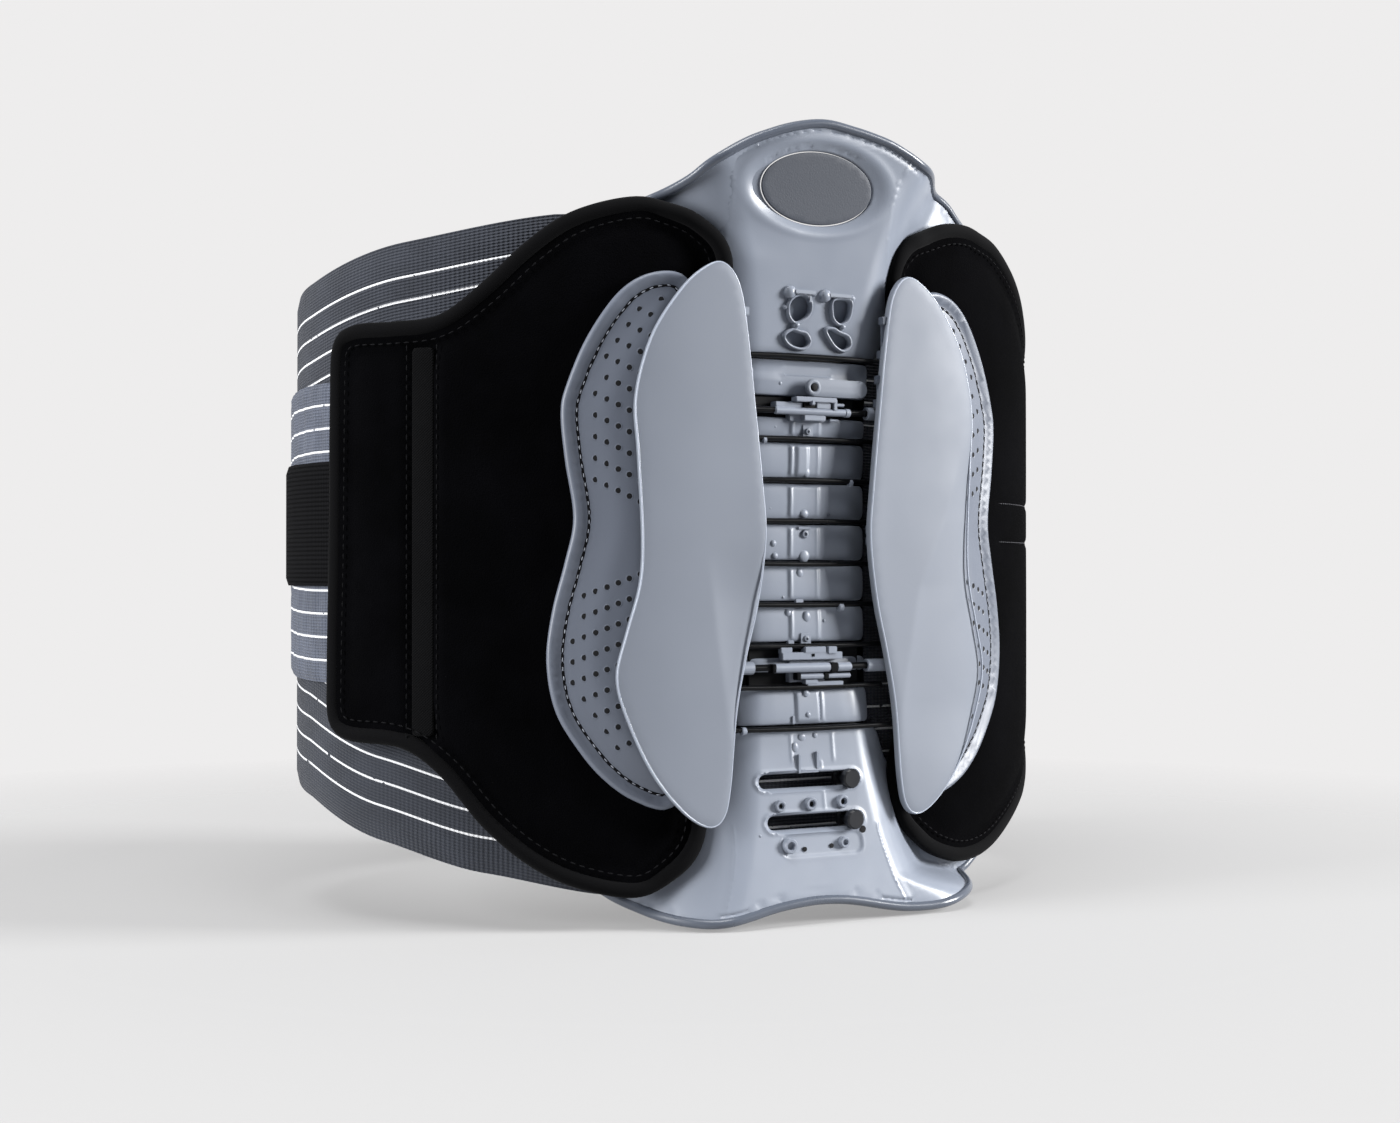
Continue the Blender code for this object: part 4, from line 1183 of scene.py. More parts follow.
HUB_POCKETS = (
    [(-10.6, 246.4), (-7.5, 249.4), (-3.2, 249.8), (-0.4, 247.2), (-0.4, 243.2), (-3.0, 240.2),
        (-7.4, 238.6), (-10.6, 241.6)],
    [(10.0, 248.6), (14.2, 249.6), (18.6, 248.8), (18.9, 244.4), (17.6, 240.8), (14.2, 239.0),
        (10.8, 241.0), (9.6, 245.0)],
    [(-12.0, 233.6), (-8.4, 236.0), (-5.2, 235.4), (-1.6, 234.6), (0.2, 231.2), (-2.4, 228.6),
        (-7.0, 228.8), (-10.8, 230.6)],
    [(7.2, 236.8), (10.8, 237.4), (14.2, 236.0), (18.4, 234.6), (19.6, 231.0), (16.6, 228.6), (12.8, 229.8),
        (9.4, 233.0)],
)
# Posts at the pockets' corners: x, z, height off the face and size
HUB_POSTS = [
    (-10.4, 250.6, 0.6, (2.7, 2.7, 3.4)), (6.4, 250.2, 0.6, (2.6, 2.6, 3.2)),
    (19.0, 249.8, 0.4, (1.7, 1.7, 3.0)),
    (-12.2, 244.4, 0.2, (1.0, 1.0, 2.2)), (-7.2, 237.4, 0.4, (1.6, 1.6, 3.2)),
    (15.0, 237.8, 0.3, (1.2, 1.2, 2.6)),
    (1.2, 250.4, 0.2, (0.9, 0.9, 2.4)),
]
HUB_BARS = [(-9.0, 0.8, 249.9, 251.6, 0, 2.7), (7.6, 18.4, 249.6, 251.2, 0, 2.4),
    (-2.0, -0.6, 247.0, 250.4, 0, 2.0)]


class BELT_OT_shells(bpy.types.Operator):
    """Moulds the upper and lower back shells, the oval insert, the hub and the rims"""

    bl_idname = "belt.shells"
    bl_label = "Back shells"

    def execute(self, context):
        shell = FINISH["shell"]
        outline = spaced(smooth_loop(UPPER_SHELL_EDGE + UPPER_SHELL_HIDDEN), 1.6)
        pockets = [smooth_loop([(across(x, z), z) for x, z in points], 4) for points in HUB_POCKETS]
        upper = plate(
            "back_shell_upper", [outline, oval(*BADGE[:2], BADGE[2] + 0.4, BADGE[3] + 0.4, 80), *pockets],
            shell_face, lambda s, z: shell_face(s, z) - SHELL_THICK, shell, 2.0, 0.8,
            fine=[(-42.5, -34, 258, 306, 0.55), (32, 43, 258, 306, 0.55), (-44, 44, 262, 314, 1.2)],
            relief=upper_relief,
        )
        settle(upper, "back", "shell_plastic", "upper_shell")
        outline = spaced(smooth_loop(LOWER_SHELL_EDGE + LOWER_SHELL_HIDDEN[::-1]), 1.6)
        slots = [slot_outline(across(x0, z), across(x1, z), z, h) for x0, x1, z, h in SLOTS]
        lower = plate(
            "back_shell_lower", [outline, *slots], shell_face, lambda s, z: shell_face(s, z) - SHELL_THICK,
            shell, 2.0, 0.8,
            fine=[(-29, 25, 25, 74, 0.75), (-43, -33, 5, 40, 0.6), (26, 38, 5, 37, 0.6)], relief=lower_relief,
        )
        settle(lower, "back", "shell_plastic", "lower_shell")
        insert = plate(
            "oval_insert", [oval(*BADGE[:2], BADGE[2], BADGE[3], 80)], lambda s, z: shell_face(s, z) - 1.5,
            lambda s, z: shell_face(s, z) - 2.6, FINISH["badge"], 2.0, 0.3,
        )
        settle(insert, "back", "badge_plastic", "badge_insert")
        for name, edge, node, sign in (
            ("shell_rim_upper", UPPER_SHELL_EDGE, "upper_rim", 1),
            ("shell_rim_lower", LOWER_SHELL_EDGE, "lower_rim", -1),
        ):
            line = spaced(smooth_loop(edge, 6, closed=False), 1.8, closed=False)
            line = line + left_normals(line, False) * sign * 0.7
            rim = bead(
                name, line, lambda s, z: shell_face(s, z) - 1.0, round_profile(1.9, 2.1, 16),
                FINISH["rim"], closed=False, step=1.8,
            )
            settle(rim, "back", "rim_rubber", node)
        self.hub()
        return {"FINISHED"}

    def hub(self):
        """Raised walls round the four pockets, with posts at the corners."""
        walls = []
        for n, points in enumerate(HUB_POCKETS):
            ring = smooth_loop([(across(x, z), z) for x, z in points])
            walls.append(bead(f"hub_wall_{n}", ring, lambda s, z: shell_face(s, z) + 0.2,
                              round_profile(0.75, 1.7, 10), FINISH["shell"], step=0.8))
        posts = face_marks("hub_posts", dome_shape(1.0, 0.55), HUB_POSTS, "shell")
        bars_up = blocks("hub_bars", HUB_BARS, "shell")
        settle(join("hub_cluster", [*walls, posts, bars_up]), "back", "shell_plastic", "hub_frame")
        floor = plate(
            "hub_floor", [spaced(rounded_box(-14, 22, 227.2, 252, 3), 3)],
            lambda s, z: shell_face(s, z) - 2.7,
            lambda s, z: shell_face(s, z) - 3.4, FINISH["shell"], 4.0, 0.3,
        )
        settle(floor, "back", "shell_plastic")


RIDGES = (-6.3, 6.6)
SPINE_DOMES = [
    (-12.4, 214.6, 0, 0.9), (6.4, 214.0, 1.0, 0.9), (-13.9, 197.2, 0, 0.6),
    (0.9, 179.3, 0.4, (1.9, 2.2, 1.4)),
    (0.2, 162.6, 0.4, (2.1, 1.9, 1.6)), (-15.5, 164.6, 0, 0.55), (-14.2, 150.6, 0, (1.5, 1.5, 1.7)),
    (-13.4, 145.6, 0, (1.5, 1.4, 1.5)), (0.4, 145.6, 0.4, (2.5, 2.6, 1.2)),
    (-1.9, 138.8, 0.4, (1.7, 1.9, 1.3)),
    (0.9, 121.2, 0.4, (2.0, 2.3, 1.8)), (-7.5, 122.8, 0, (1.6, 1.6, 1.6)), (-1.0, 90.4, 0.9, (1.6, 1.6, 1.4)),
    (-0.5, 81.9, 0.9, 1.2), (-7.2, 69.1, 0, (1.7, 2.1, 1.2)), (-3.6, 73.0, 0, (1.9, 1.6, 1.0)),
    (2.8, 73.6, 0, (1.2, 1.3, 1.0)), (-26.5, 35.5, 0, 0.6), (-12.4, 244.7, 0.2, 0.9), (-6.9, 237.7, 2.0, 1.1),
    (15.1, 238.2, 2.0, 1.0), (-6.9, 110.6, 0, (1.4, 1.2, 1.4)), (9.5, 119.4, 0.3, 0.7), (-9.6, 129.0, 0, 0.6),
]
SPINE_SCREWS = [(0.4, 154.4, 0.5, 1.7), (12.4, 162.4, 0, 0.8), (1.2, 213.1, 2.9, 1.9), (0.6, 195.6, 1.3, 1.3),
                (0.2, 112.3, 1.0, 1.3)]
SPINE_RINGS = [(-16.5, 46.6, 0.4, 2.3), (-2.2, 46.8, 0.4, 2.6), (12.8, 47.0, 0.4, 2.6),
               (-13.8, 31.0, 0.3, 3.0),
               (12.0, 30.9, 0.3, 2.2), (15.9, 38.6, 1.8, 2.0)]
# Flat dark discs at holes in the spine and lower shell: painted shade for the holes' insides
SPINE_HOLE_SHADES = [(-6.4, 29.2, 0.05, 0.95), (6.4, 29.8, 0.05, 0.9), (-13.1, 31.2, 0.6, 1.1),
              (21.8, 35.4, 0.3, 1.5),
              (12.4, 31.2, 0.5, 0.7), (-1.6, 46.6, 0.7, 1.0), (13.2, 46.8, 0.7, 1.1), (-15.9, 46.6, 0.7, 0.9)]


def segment_relief(n):
    """A raised middle strip with a ridge along each side, and rounded ends that fall into the gaps."""
    low = seg_middle(n) - SPINE_PITCH / 2

    def relief(s, z, distance):
        strip = 0.45 * smooth_step((6.6 - np.abs(s)) / 0.7)
        lines = sum(0.55 * np.exp(-(((s - r) / 0.55) ** 2)) for r in RIDGES)
        slope = -0.5 * smooth_step((np.abs(s) - 14) / 14)
        up = (z - low) / SPINE_PITCH
        belly = 0.5 * np.sin(np.pi * np.clip(up, 0, 1))
        own = np.zeros_like(s)
        if n == 0:
            strip, lines = strip * 0, lines * 0
            own = -0.9 * smooth_step((z - 217.4) / 0.8)
        if n == 2:
            key = np.hypot(s + 1.2, np.maximum(np.abs(z - 183.4) - 6.0, 0)) - 2.6
            own = 0.7 * smooth_step((0.4 - key) / 0.8)
        if n == 8:
            lines = lines * (s > 0)
            own = 0.8 * smooth_step((5.6 - np.abs(s + 0.2)) / 0.7) * smooth_step((z - 78.6) / 0.8)
            own = own * smooth_step((93.0 - z) / 0.8) - strip
        fade = smooth_step(distance / 1.6)
        return (strip + lines + own) * fade + slope + belly

    return relief


class BELT_OT_spine(bpy.types.Operator):
    """Builds the nine segments down the middle, with their rivets, over a near-black sheet of painted shade
    for the gaps between them
    """

    bl_idname = "belt.spine"
    bl_label = "Segmented spine"

    def execute(self, context):
        gap = 2.3
        for n in range(SEGMENTS):
            low = seg_middle(n) - (SPINE_PITCH - gap) / 2
            high = low + SPINE_PITCH - gap
            if n == 1:
                high -= 6.4
            if n == 7:
                low += 4.6
                high -= 4.0
            outline = spaced(rounded_box(-31, 31, low, high, 2.2), 1.3)
            segment = plate(
                f"spine_segment_{n + 1}", [outline], lambda s, z: shell_face(s, z) - 0.2,
                lambda s, z: shell_face(s, z) - 3.0, FINISH["shell"], 1.6, 0.9,
                fine=[(-10, 10.4, low, high, 0.75)], relief=segment_relief(n), under_step=5,
            )
            settle(segment, "back", "shell_plastic", f"vertebra_{n + 1}")
        # Painted shade: a near-black sheet behind the segments, so the gaps between them read dark
        gap_shade = plate(
            "spine_liner", [spaced(rounded_box(-33, 33, 76.6, 225.6, 2), 3)],
            lambda s, z: shell_face(s, z) - 2.9, lambda s, z: shell_face(s, z) - 3.6, FINISH["lace"], 4.0,
            0.3,
        )
        settle(gap_shade, "back", "lace_black")
        for name, shape, rows, finish, slot in (
            ("spine_domes", dome_shape(), SPINE_DOMES, "shell", "shell_plastic"),
            ("spine_screws", screw_shape(), SPINE_SCREWS, "wing", "wing_plastic"),
            ("spine_bosses", ring_shape(), SPINE_RINGS, "shell", "shell_plastic"),
            # The dark discs are painted shade standing in for holes
            ("spine_holes", dome_shape(1.0, 0.05), SPINE_HOLE_SHADES, "hole", "badge_plastic"),
        ):
            nodes = [f"shell_screw_{k + 1}" for k in range(len(SCREWS))] if name == "spine_bosses" else []
            settle(face_marks(name, shape, rows, finish), "back", slot, *nodes)
        tabs = blocks("spine_tabs", [
            (-1.6, 3.4, 193.8, 198.4, 0.3, 1.3), (-2.4, 2.6, 109.6, 114.6, 0.4, 1.1),
            (-4.6, -0.8, 126.4, 128.2, 0.3, 1.6),
            (-2.9, 3.3, 156.2, 157.4, 0.3, 1.2), (-8.4, -5.4, 109.6, 111.8, 0, 1.0),
            (-6.6, -5.3, 58.8, 66.4, -0.3, 1.0),
            (2.0, 3.4, 60.2, 67.2, -0.3, 1.0), (-6.2, 3.2, 58.9, 59.6, -0.3, 0.5),
            (-7.9, -6.4, 78.4, 81.6, 0, 0.7),
        ], "shell")
        settle(tabs, "back", "shell_plastic")
        return {"FINISHED"}


UPPER_BLOCKS = [
    (-16.0, -3.4, 204.4, 207.0, -1.0, 3.4), (-7.8, 11.6, 207.2, 209.2, 1.5, 5.6),
    (2.6, 9.4, 204.6, 207.6, 1.6, 4.6),
    (10.2, 12.0, 204.2, 208.6, 1.8, 5.4), (-3.2, 7.0, 199.8, 202.0, 1.2, 4.8),
    (-0.6, 1.0, 206.0, 208.0, 3.0, 6.0),
    (-8.6, 8.2, 199.6, 207.4, -2.0, 1.8),
]
UPPER_BARS = [(-16.6, 16.8, 203.4, 3.9, 1.5), (16.6, 18.4, 203.4, 3.9, 1.75), (12.0, 16.6, 206.6, 2.6, 0.7),
              (10.4, 14.2, 200.4, 2.4, 0.6)]
# Painted shade: near-black blocks in the upper mechanism's gaps and recesses
UPPER_RECESS_SHADE = [(-3.2, 2.4, 204.4, 207.4, -0.5, 4.2), (-24, 24, 199.0, 209.0, -3.0, -1.4),
    (8.4, 11.4, 203.8, 206.4, 1.0, 4.4)]
LOWER_BLOCKS = [
    (-13.2, 15.4, 104.0, 107.0, 1.0, 4.2), (-13.4, -8.0, 106.4, 109.0, 1.0, 3.6),
    (-2.6, 7.4, 106.6, 109.2, 1.0, 4.6),
    (8.2, 12.4, 106.2, 109.2, 1.0, 5.0), (-1.4, 15.8, 93.4, 95.2, 1.0, 3.4),
    (-2.6, 3.4, 94.2, 96.0, 0.6, 3.8),
    (-8.6, 8.4, 95.0, 107.0, -1.8, 1.4),
]
LOWER_BARS = [(-17.4, 8.2, 100.9, 4.4, 1.9), (12.2, 18.4, 100.9, 4.4, 1.8), (-5.4, 5.8, 97.4, 3.6, 1.15),
              (8.2, 18.6, 97.4, 3.6, 1.0)]
# Painted shade: near-black blocks in the lower mechanism's gaps and recesses
LOWER_RECESS_SHADE = [(-26, 26, 93.4, 109.4, -3.0, -1.2), (8.4, 11.8, 99.0, 102.8, 1.6, 6.2),
              (5.8, 8.0, 96.2, 98.6, 2.0, 5.0),
              (-7.4, -5.4, 96.0, 98.8, 2.0, 5.2), (-19.0, -17.2, 99.2, 102.6, 2.0, 6.0),
              (0.6, 2.0, 105.2, 106.4, 4.0, 4.5)]


class BELT_OT_guides(bpy.types.Operator):
    """Fits the two guide mechanisms, the anchor tab and the lacing"""

    bl_idname = "belt.guides"
    bl_label = "Guides and lacing"

    def execute(self, context):
        for label, chips, rods, recess_shades in (
            ("upper", UPPER_BLOCKS, UPPER_BARS, UPPER_RECESS_SHADE), ("lower", LOWER_BLOCKS, LOWER_BARS, LOWER_RECESS_SHADE),
        ):
            housing = blocks(f"guide_housing_{label}", chips, "shell")
            settle(housing, "back", "shell_plastic", f"rod_clamp_{label}")
            sleeves = bars(f"guide_sleeves_{label}", rods, "shell")
            settle(sleeves, "back", "shell_plastic")
            # Near-black blocks of painted shade in the mechanism's recesses
            recess = blocks(f"guide_recess_{label}", recess_shades, "lace")
            settle(recess, "back", "lace_black")
            dress(f"guide_rod_{label}", "lace")
            dress(f"slot_slider_{label}", "knob")
        tab = plate(
            "anchor_arm", [slot_outline(-2.6, 27, 213.1, 3.5)], 13.7, 12.5, FINISH["wing"], 1.4, 0.4,
            wrap=lambda s, z, d: np.stack([s, column_y(0) / MM - d, z], -1) * MM,
        )
        boss = face_marks("anchor_boss", ring_shape(), [(0.8, 213.1, 3.9, (3.3, 3.3, 1.7))], "wing")
        # A dark disc in the boss's eye: painted shade for the hole
        eye = face_marks("anchor_eye", dome_shape(1.0, 0.5), [(0.8, 213.1, 5.0, (1.5, 1.5, 1.0))], "hole")
        settle(eye, "back", "badge_plastic")
        settle(join("anchor_arm", [tab, boss]), "back", "wing_plastic", "anchor_tab")
        for n, k in enumerate((0, 2, 3, 4, 5, 6, 7, 8, 9), 1):
            low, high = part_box(f"lace_{n}")
            z = SPINE_TOP - SPINE_PITCH * k
            half = (high.x - low.x) / 2
            share = np.linspace(-1, 1, 25)
            sag = (-0.5 + 0.9 * (k < 5)) * (1 - share**2) * MM
            y = (low.y + high.y) / 2
            path = np.stack([share * half, np.full(25, y), z * MM + sag], -1)
            lace = tube(f"lace_cord_{n}", path, 1.05, FINISH["lace"], 12)
            settle(lace, "back", "lace_black", f"lace_{n}")
        ferrules = bars("lace_ferrules", [(15.4, 17.2, 124.9, 2.2, 1.7), (-32.6, -31.0, 76.5, 2.2, 1.6),
                                          (20.6, 21.8, 175.4, 2.2, 1.5), (-21.0, -19.8, 191.6, 2.2, 1.5)],
                                          "shell")
        settle(ferrules, "back", "shell_plastic")
        return {"FINISHED"}


WING_THICK = 3.3
FACET_FALL = 1.9
WING_CREASES = {
    LEFT: [(-34, 66), (-38.3, 78.4), (-43, 112.7), (-47, 149.4)],
    RIGHT: [(37, 70), (39.7, 95), (46.5, 133.3), (58.7, 160.6), (69.8, 198.4)],
}


class BELT_OT_wings(bpy.types.Operator):
    """Moulds the two wing covers and the clips behind their inner edges"""

    bl_idname = "belt.wings"
    bl_label = "Wing covers"

    def execute(self, context):
        for side, label in SIDE_NAMES.items():
            outline = spaced(smooth_loop(to_side(WING, side)), 1.5)
            crease_s, crease_z = np.array(WING_CREASES[side], float).T

            def relief(s, z, distance, crease_s=crease_s, crease_z=crease_z):
                beyond = s - np.interp(z, crease_z, crease_s)
                fade = smooth_step((crease_z[-1] + 4 - z) / 30) * smooth_step((z - crease_z[0] + 24) / 40)
                facet = -FACET_FALL * (1 - np.exp(-0.15 * np.maximum(beyond, 0) / FACET_FALL)) * fade
                return facet - 0.2 * smooth_step((3.2 - distance) / 3.2)

            zones = {LEFT: (-50, -26, 60, 156, 1.5), RIGHT: (36, 78, 66, 204, 1.5)}
            cover = plate(
                f"wing_cover_{label}", [outline], lambda s, z: wing_face(s),
                lambda s, z: wing_face(s) - WING_THICK,
                FINISH["wing"], 2.4, 0.9, under_edge=0.5, relief=relief, fine=[zones[side]],
            )
            settle(cover, f"wing_{label}", "wing_plastic", f"wing_{label}")
            # A thin bead in a lighter finish: painted highlight along the wing's edges
            lip = bead(
                f"wing_lip_{label}", inset(outline, 0.5), lambda s, z: wing_face(s) - 0.55,
                round_profile(0.42, 0.42, 8), FINISH["lip"],
            )
            settle(lip, f"wing_{label}", "wing_plastic")
            dress(f"wing_carrier_{label}", "shell")
            clips = []
            for z0, z1, x in ((226, 243, 30.6), (206, 219, 28.6), (150, 158, 24.6)):
                low = WING_UNDER - float(column_face((z0 + z1) / 2))
                for level in (z0, z1 - 3.4):
                    clips.append((*sorted((side * (x + 0.9), side * (x + 5))), level, level + 3.4,
                        low - 3.2, low - 0.1))
                clips.append((*sorted((side * (x + 1.4), side * (x + 4))), z0, z1, low - 1.8, low - 0.1))
            # The right clips take the darker rim finish as painted shade, since they lie in the right wing's
            # shadow
            settle(blocks(f"wing_clips_{label}", clips, "shell" if side == LEFT else "rim"),
                f"wing_{label}", "wing_plastic")
        return {"FINISHED"}


HOLE_COLUMNS = [94.6 - 3.95 * k for k in range(11)]
# Each cluster: height at the reference column, rise per millimetre inwards, row pitch, rows, reference column
HOLE_CLUSTERS = ((176.3, -0.53, 8.25, 11, 90.0), (129.9, 0.42, -7.9, 9, 90.8))
HOLES_FROM_EDGE = 8.5
PAD_STITCH_IN = 5.6


def pad_top(s, z):
    return pad_floor(s, z) + 4.2


def pad_relief(s, z, distance):
    """A rolled rim, a groove for the stitches and a softly filled middle."""
    roll = -1.4 * smooth_step((distance - 2.2) / 1.6)
    groove = -0.45 * np.exp(-(((distance - PAD_STITCH_IN) / 1.0) ** 2))
    return roll + groove + 1.5 * smooth_step((distance - 6.4) / 12)


class BELT_OT_pads(bpy.types.Operator):
    """Makes the perforated pads beside the wings"""

    bl_idname = "belt.pads"
    bl_label = "Perforated pads"

    def execute(self, context):
        sizes = context.scene.belt_sizes
        for side, label in SIDE_NAMES.items():
            outline = spaced(smooth_loop(to_side(PAD, side)), 1.3)
            pad = plate(
                f"side_pad_{label}", [outline], pad_top, pad_floor, FINISH["pad"], 1.9, 1.6,
                under_edge=0.8, relief=pad_relief,
            )
            settle(pad, "back", "pad_leather", f"pad_{label}")
            holes = []
            for level, slope, pitch, rows, column in HOLE_CLUSTERS:
                spots = [
                    (c, level + pitch * k + slope * (column - c))
                    for k in range(rows) for c in HOLE_COLUMNS
                ]
                holes += [
                    (side * s, z) for s, z in spots
                    if (z > 164) == (pitch > 0) or (z < 140 and pitch < 0)
                ]
            holes = np.array(holes)
            depth = edge_distance(holes, [turned_so(outline)])
            holes = holes[is_inside(holes, [outline]) & (depth > HOLES_FROM_EDGE)]
            depth = edge_distance(holes, [turned_so(outline)])
            level = pad_top(*holes.T) + pad_relief(*holes.T, depth)
            radius = sizes.hole_radius / MM
            places = [(s, z, d + 0.02, radius) for (s, z), d in zip(holes, level)]
            # Dark discs just above the pad: painted shade for the insides of the perforations
            hole_shades = stamps(f"pad_holes_{label}", dome_shape(1.0, 0.06), places, FINISH["hole"])
            settle(hole_shades, "back", "badge_plastic")
            lips = stamps(f"pad_lips_{label}", lathe(
                [(0, -0.5), (1.35, -0.5), (1.35, 0.02), (1.18, 0.11), (1.0, 0.03), (0, -0.1)], 14),
                [(s, z, d - 0.02, radius) for (s, z), d in zip(holes, level)], FINISH["pad"])
            settle(lips, "back", "pad_leather")
            row = spaced(inset(spaced(smooth_loop(to_side(PAD, side)), 3.0), PAD_STITCH_IN), 1.5)
            d = pad_top(*row.T) + pad_relief(*row.T, np.full(len(row), PAD_STITCH_IN))
            thread = stitches(
                f"pad_stitches_{label}", [(place(*row.T, d + 0.12), True)], FINISH["thread_grey"], 3.6, 2.6,
                0.62
            )
            # A black bead in the stitch groove: painted shade in the groove
            groove = bead(
                f"pad_groove_{label}", row, lambda s, z: pad_top(s, z) - 1.72,
                round_profile(0.62, 0.16, 8), FINISH["thread_black"], step=2.0,
            )
            settle(thread, "back", "pad_leather")
            settle(groove, "back", "pad_leather")
        return {"FINISHED"}


STRIP_MIDDLE = -148.7
TAPE_HALF = 4.0
STRIP_SEAM = 5.6  # from the strip's middle to its stitches
CROSS_START = 104
STRIP_HALF = 3.2
STRIP_LOW, STRIP_HIGH = 75.5, 226
PANEL_STITCH_IN = 8.6
CROSS_SEAMS = (152.4, 169.3)


def strip_away(s, z):
    """Distance from the recessed strip of the left panel."""
    return np.hypot(np.maximum(np.abs(s - STRIP_MIDDLE) - STRIP_HALF, 0),
                    np.maximum(np.abs(z - (STRIP_LOW + STRIP_HIGH) / 2) - (STRIP_HIGH - STRIP_LOW) / 2, 0))


def panel_relief(s, z, distance):
    """The cover is drawn down at its stitches, along the strip and at the cross seams."""
    swell = 1.6 * smooth_step((distance - 6) / 15)
    rim_seam = -0.9 * np.exp(-(((distance - PANEL_STITCH_IN) / 1.6) ** 2))
    strip = -2.2 * smooth_step((5.5 - strip_away(s, z)) / 5.5)
    cross = sum(np.exp(-(((z - level) / 1.3) ** 2)) for level in CROSS_SEAMS)
    cross = -0.8 * cross * smooth_step((s - 106) / 8)
    return swell + rim_seam + strip + cross - 1.0


def puff(obj, is_held, pressure=4.0, cap=2.2, frames=20):
    """Lets a cover swell under pressure from inside: held points stay, and the rest move up to cap mm."""
    scene = bpy.context.scene
    mesh = obj.data
    count = len(mesh.vertices)
    before = np.zeros(count * 3, np.float32)
    mesh.vertices.foreach_get("co", before)
    group = obj.vertex_groups.new(name="held")
    group.add(np.nonzero(is_held)[0].tolist(), 1.0, "REPLACE")
    cloth = obj.modifiers.new("cloth", "CLOTH")
    cloth.settings.vertex_group_mass = "held"
    cloth.settings.quality = 4
    cloth.settings.mass = 0.25
    cloth.settings.tension_stiffness = cloth.settings.compression_stiffness = 12
    cloth.settings.bending_stiffness = 4
    cloth.settings.effector_weights.gravity = 0
    cloth.settings.use_pressure = True
    cloth.settings.uniform_pressure_force = pressure
    cloth.collision_settings.use_collision = False
    cloth.point_cache.frame_start, cloth.point_cache.frame_end = 1, frames
    for now in range(1, frames + 1):
        scene.frame_set(now)
    graph = bpy.context.evaluated_depsgraph_get()
    after = np.zeros(count * 3, np.float32)
    obj.evaluated_get(graph).data.vertices.foreach_get("co", after)
    move = (after - before).reshape(-1, 3)
    size = np.linalg.norm(move, axis=1, keepdims=True)
    limit = cap * MM
    move *= np.where(size > 0, limit * np.tanh(size / limit) / np.maximum(size, 1e-9), 0)
    obj.modifiers.remove(cloth)
    obj.vertex_groups.remove(group)
    mesh.vertices.foreach_set("co", (before + move.ravel()).astype(np.float32))
    mesh.update()
    scene.frame_set(1)


def flat_pattern(obj):
    """Each vertex's (s, z) in millimetres, read back from the pattern."""
    mesh = obj.data
    vertex = np.zeros(len(mesh.loops), np.int32)
    mesh.loops.foreach_get("vertex_index", vertex)
    uv = np.zeros(len(mesh.loops) * 2, np.float32)
    mesh.uv_layers["pattern"].data.foreach_get("uv", uv)
    out = np.zeros((len(mesh.vertices), 2))
    out[vertex] = uv.reshape(-1, 2)
    return out / MM


class BELT_OT_panels(bpy.types.Operator):
    """Sews the padded side panels"""

    bl_idname = "belt.panels"
    bl_label = "Padded panels"

    def execute(self, context):
        pitch = context.scene.belt_sizes.stitch_pitch / MM
        for side, label in SIDE_NAMES.items():
            outline = turned_so(spaced(smooth_loop(PANELS[side]), 2.2))
            cut = inset(outline, 2.2)
            zones = {
                LEFT: [(STRIP_MIDDLE - 11, STRIP_MIDDLE + 11, 68, 232, 1.7)],
                RIGHT: [(CROSS_START, 168, 145, 176, 1.5)],
            }[side]
            panel = plate(
                f"padded_panel_{label}", [cut], panel_face, panel_floor, FINISH["fabric"], 3.2, 1.6,
                fine=zones, relief=panel_relief, under_step=7,
            )
            flat = flat_pattern(panel)
            inner = edge_distance(flat, [cut])
            back = np.arange(len(flat)) >= self.front_count(panel)
            s, z = flat.T
            held = back | (inner < PANEL_STITCH_IN + 1) | (strip_away(s, z) < 4)
            held |= (s > CROSS_START) & (np.min([np.abs(z - level) for level in CROSS_SEAMS], axis=0) < 2)
            puff(panel, held)
            settle(panel, "back", "panel_fabric", f"side_panel_{label}")
            binding = bead(
                f"panel_binding_{label}", inset(outline, 3.0),
                self.binding_middle, round_profile(3.3, 2.9, 16), FINISH["binding"], step=2.2,
            )
            settle(binding, "back", "panel_fabric")
            rows = [(self.seam(inset(outline, PANEL_STITCH_IN)), True)]
            if side == LEFT:
                for s0 in (STRIP_MIDDLE - STRIP_SEAM, STRIP_MIDDLE + STRIP_SEAM):
                    line = [(s0, z) for z in np.linspace(STRIP_LOW, STRIP_HIGH, 60)]
                    rows.append((self.seam(np.array(line)), False))
            thread = stitches(f"panel_stitches_{label}", rows, FINISH["thread_black"], pitch + 0.6, 2.6, 0.6)
            settle(thread, "back", "panel_fabric")
            if side == RIGHT:
                lines = [np.array([(s, level) for s in np.linspace(112, 176, 40)]) for level in CROSS_SEAMS]
                light_rows = stitches("cross_stitches", [(self.seam(line), False) for line in lines],
                                      FINISH["thread_mid"], 2.6, 1.7, 0.5)
                settle(light_rows, "back", "panel_fabric")
            else:
                edge = rounded_box(
                    STRIP_MIDDLE - TAPE_HALF, STRIP_MIDDLE + TAPE_HALF, STRIP_LOW, STRIP_HIGH, 1.2
                )
                tape = plate(
                    "panel_strip", [spaced(edge, 1.6)], lambda s, z: panel_face(s, z) - 1.0,
                    lambda s, z: panel_face(s, z) - 2.2, FINISH["binding"], 3, 0.5,
                )
                settle(tape, "back", "panel_fabric")
        return {"FINISHED"}

    @staticmethod
    def front_count(obj):
        """How many of a plate's vertices belong to its front; those of its back come after them."""
        return int(obj["front"])

    @staticmethod
    def binding_middle(s, z):
        """The middle of the bound edge, lower where it passes under a wing cover."""
        middle = (panel_floor(s, z) + panel_face(s, z)) / 2 + 0.5
        return middle - 1.3 * smooth_step((54 - np.abs(s)) / 8)

    @staticmethod
    def seam(row):
        s, z = row.T
        return place(s, z, panel_face(s, z) - 0.15)


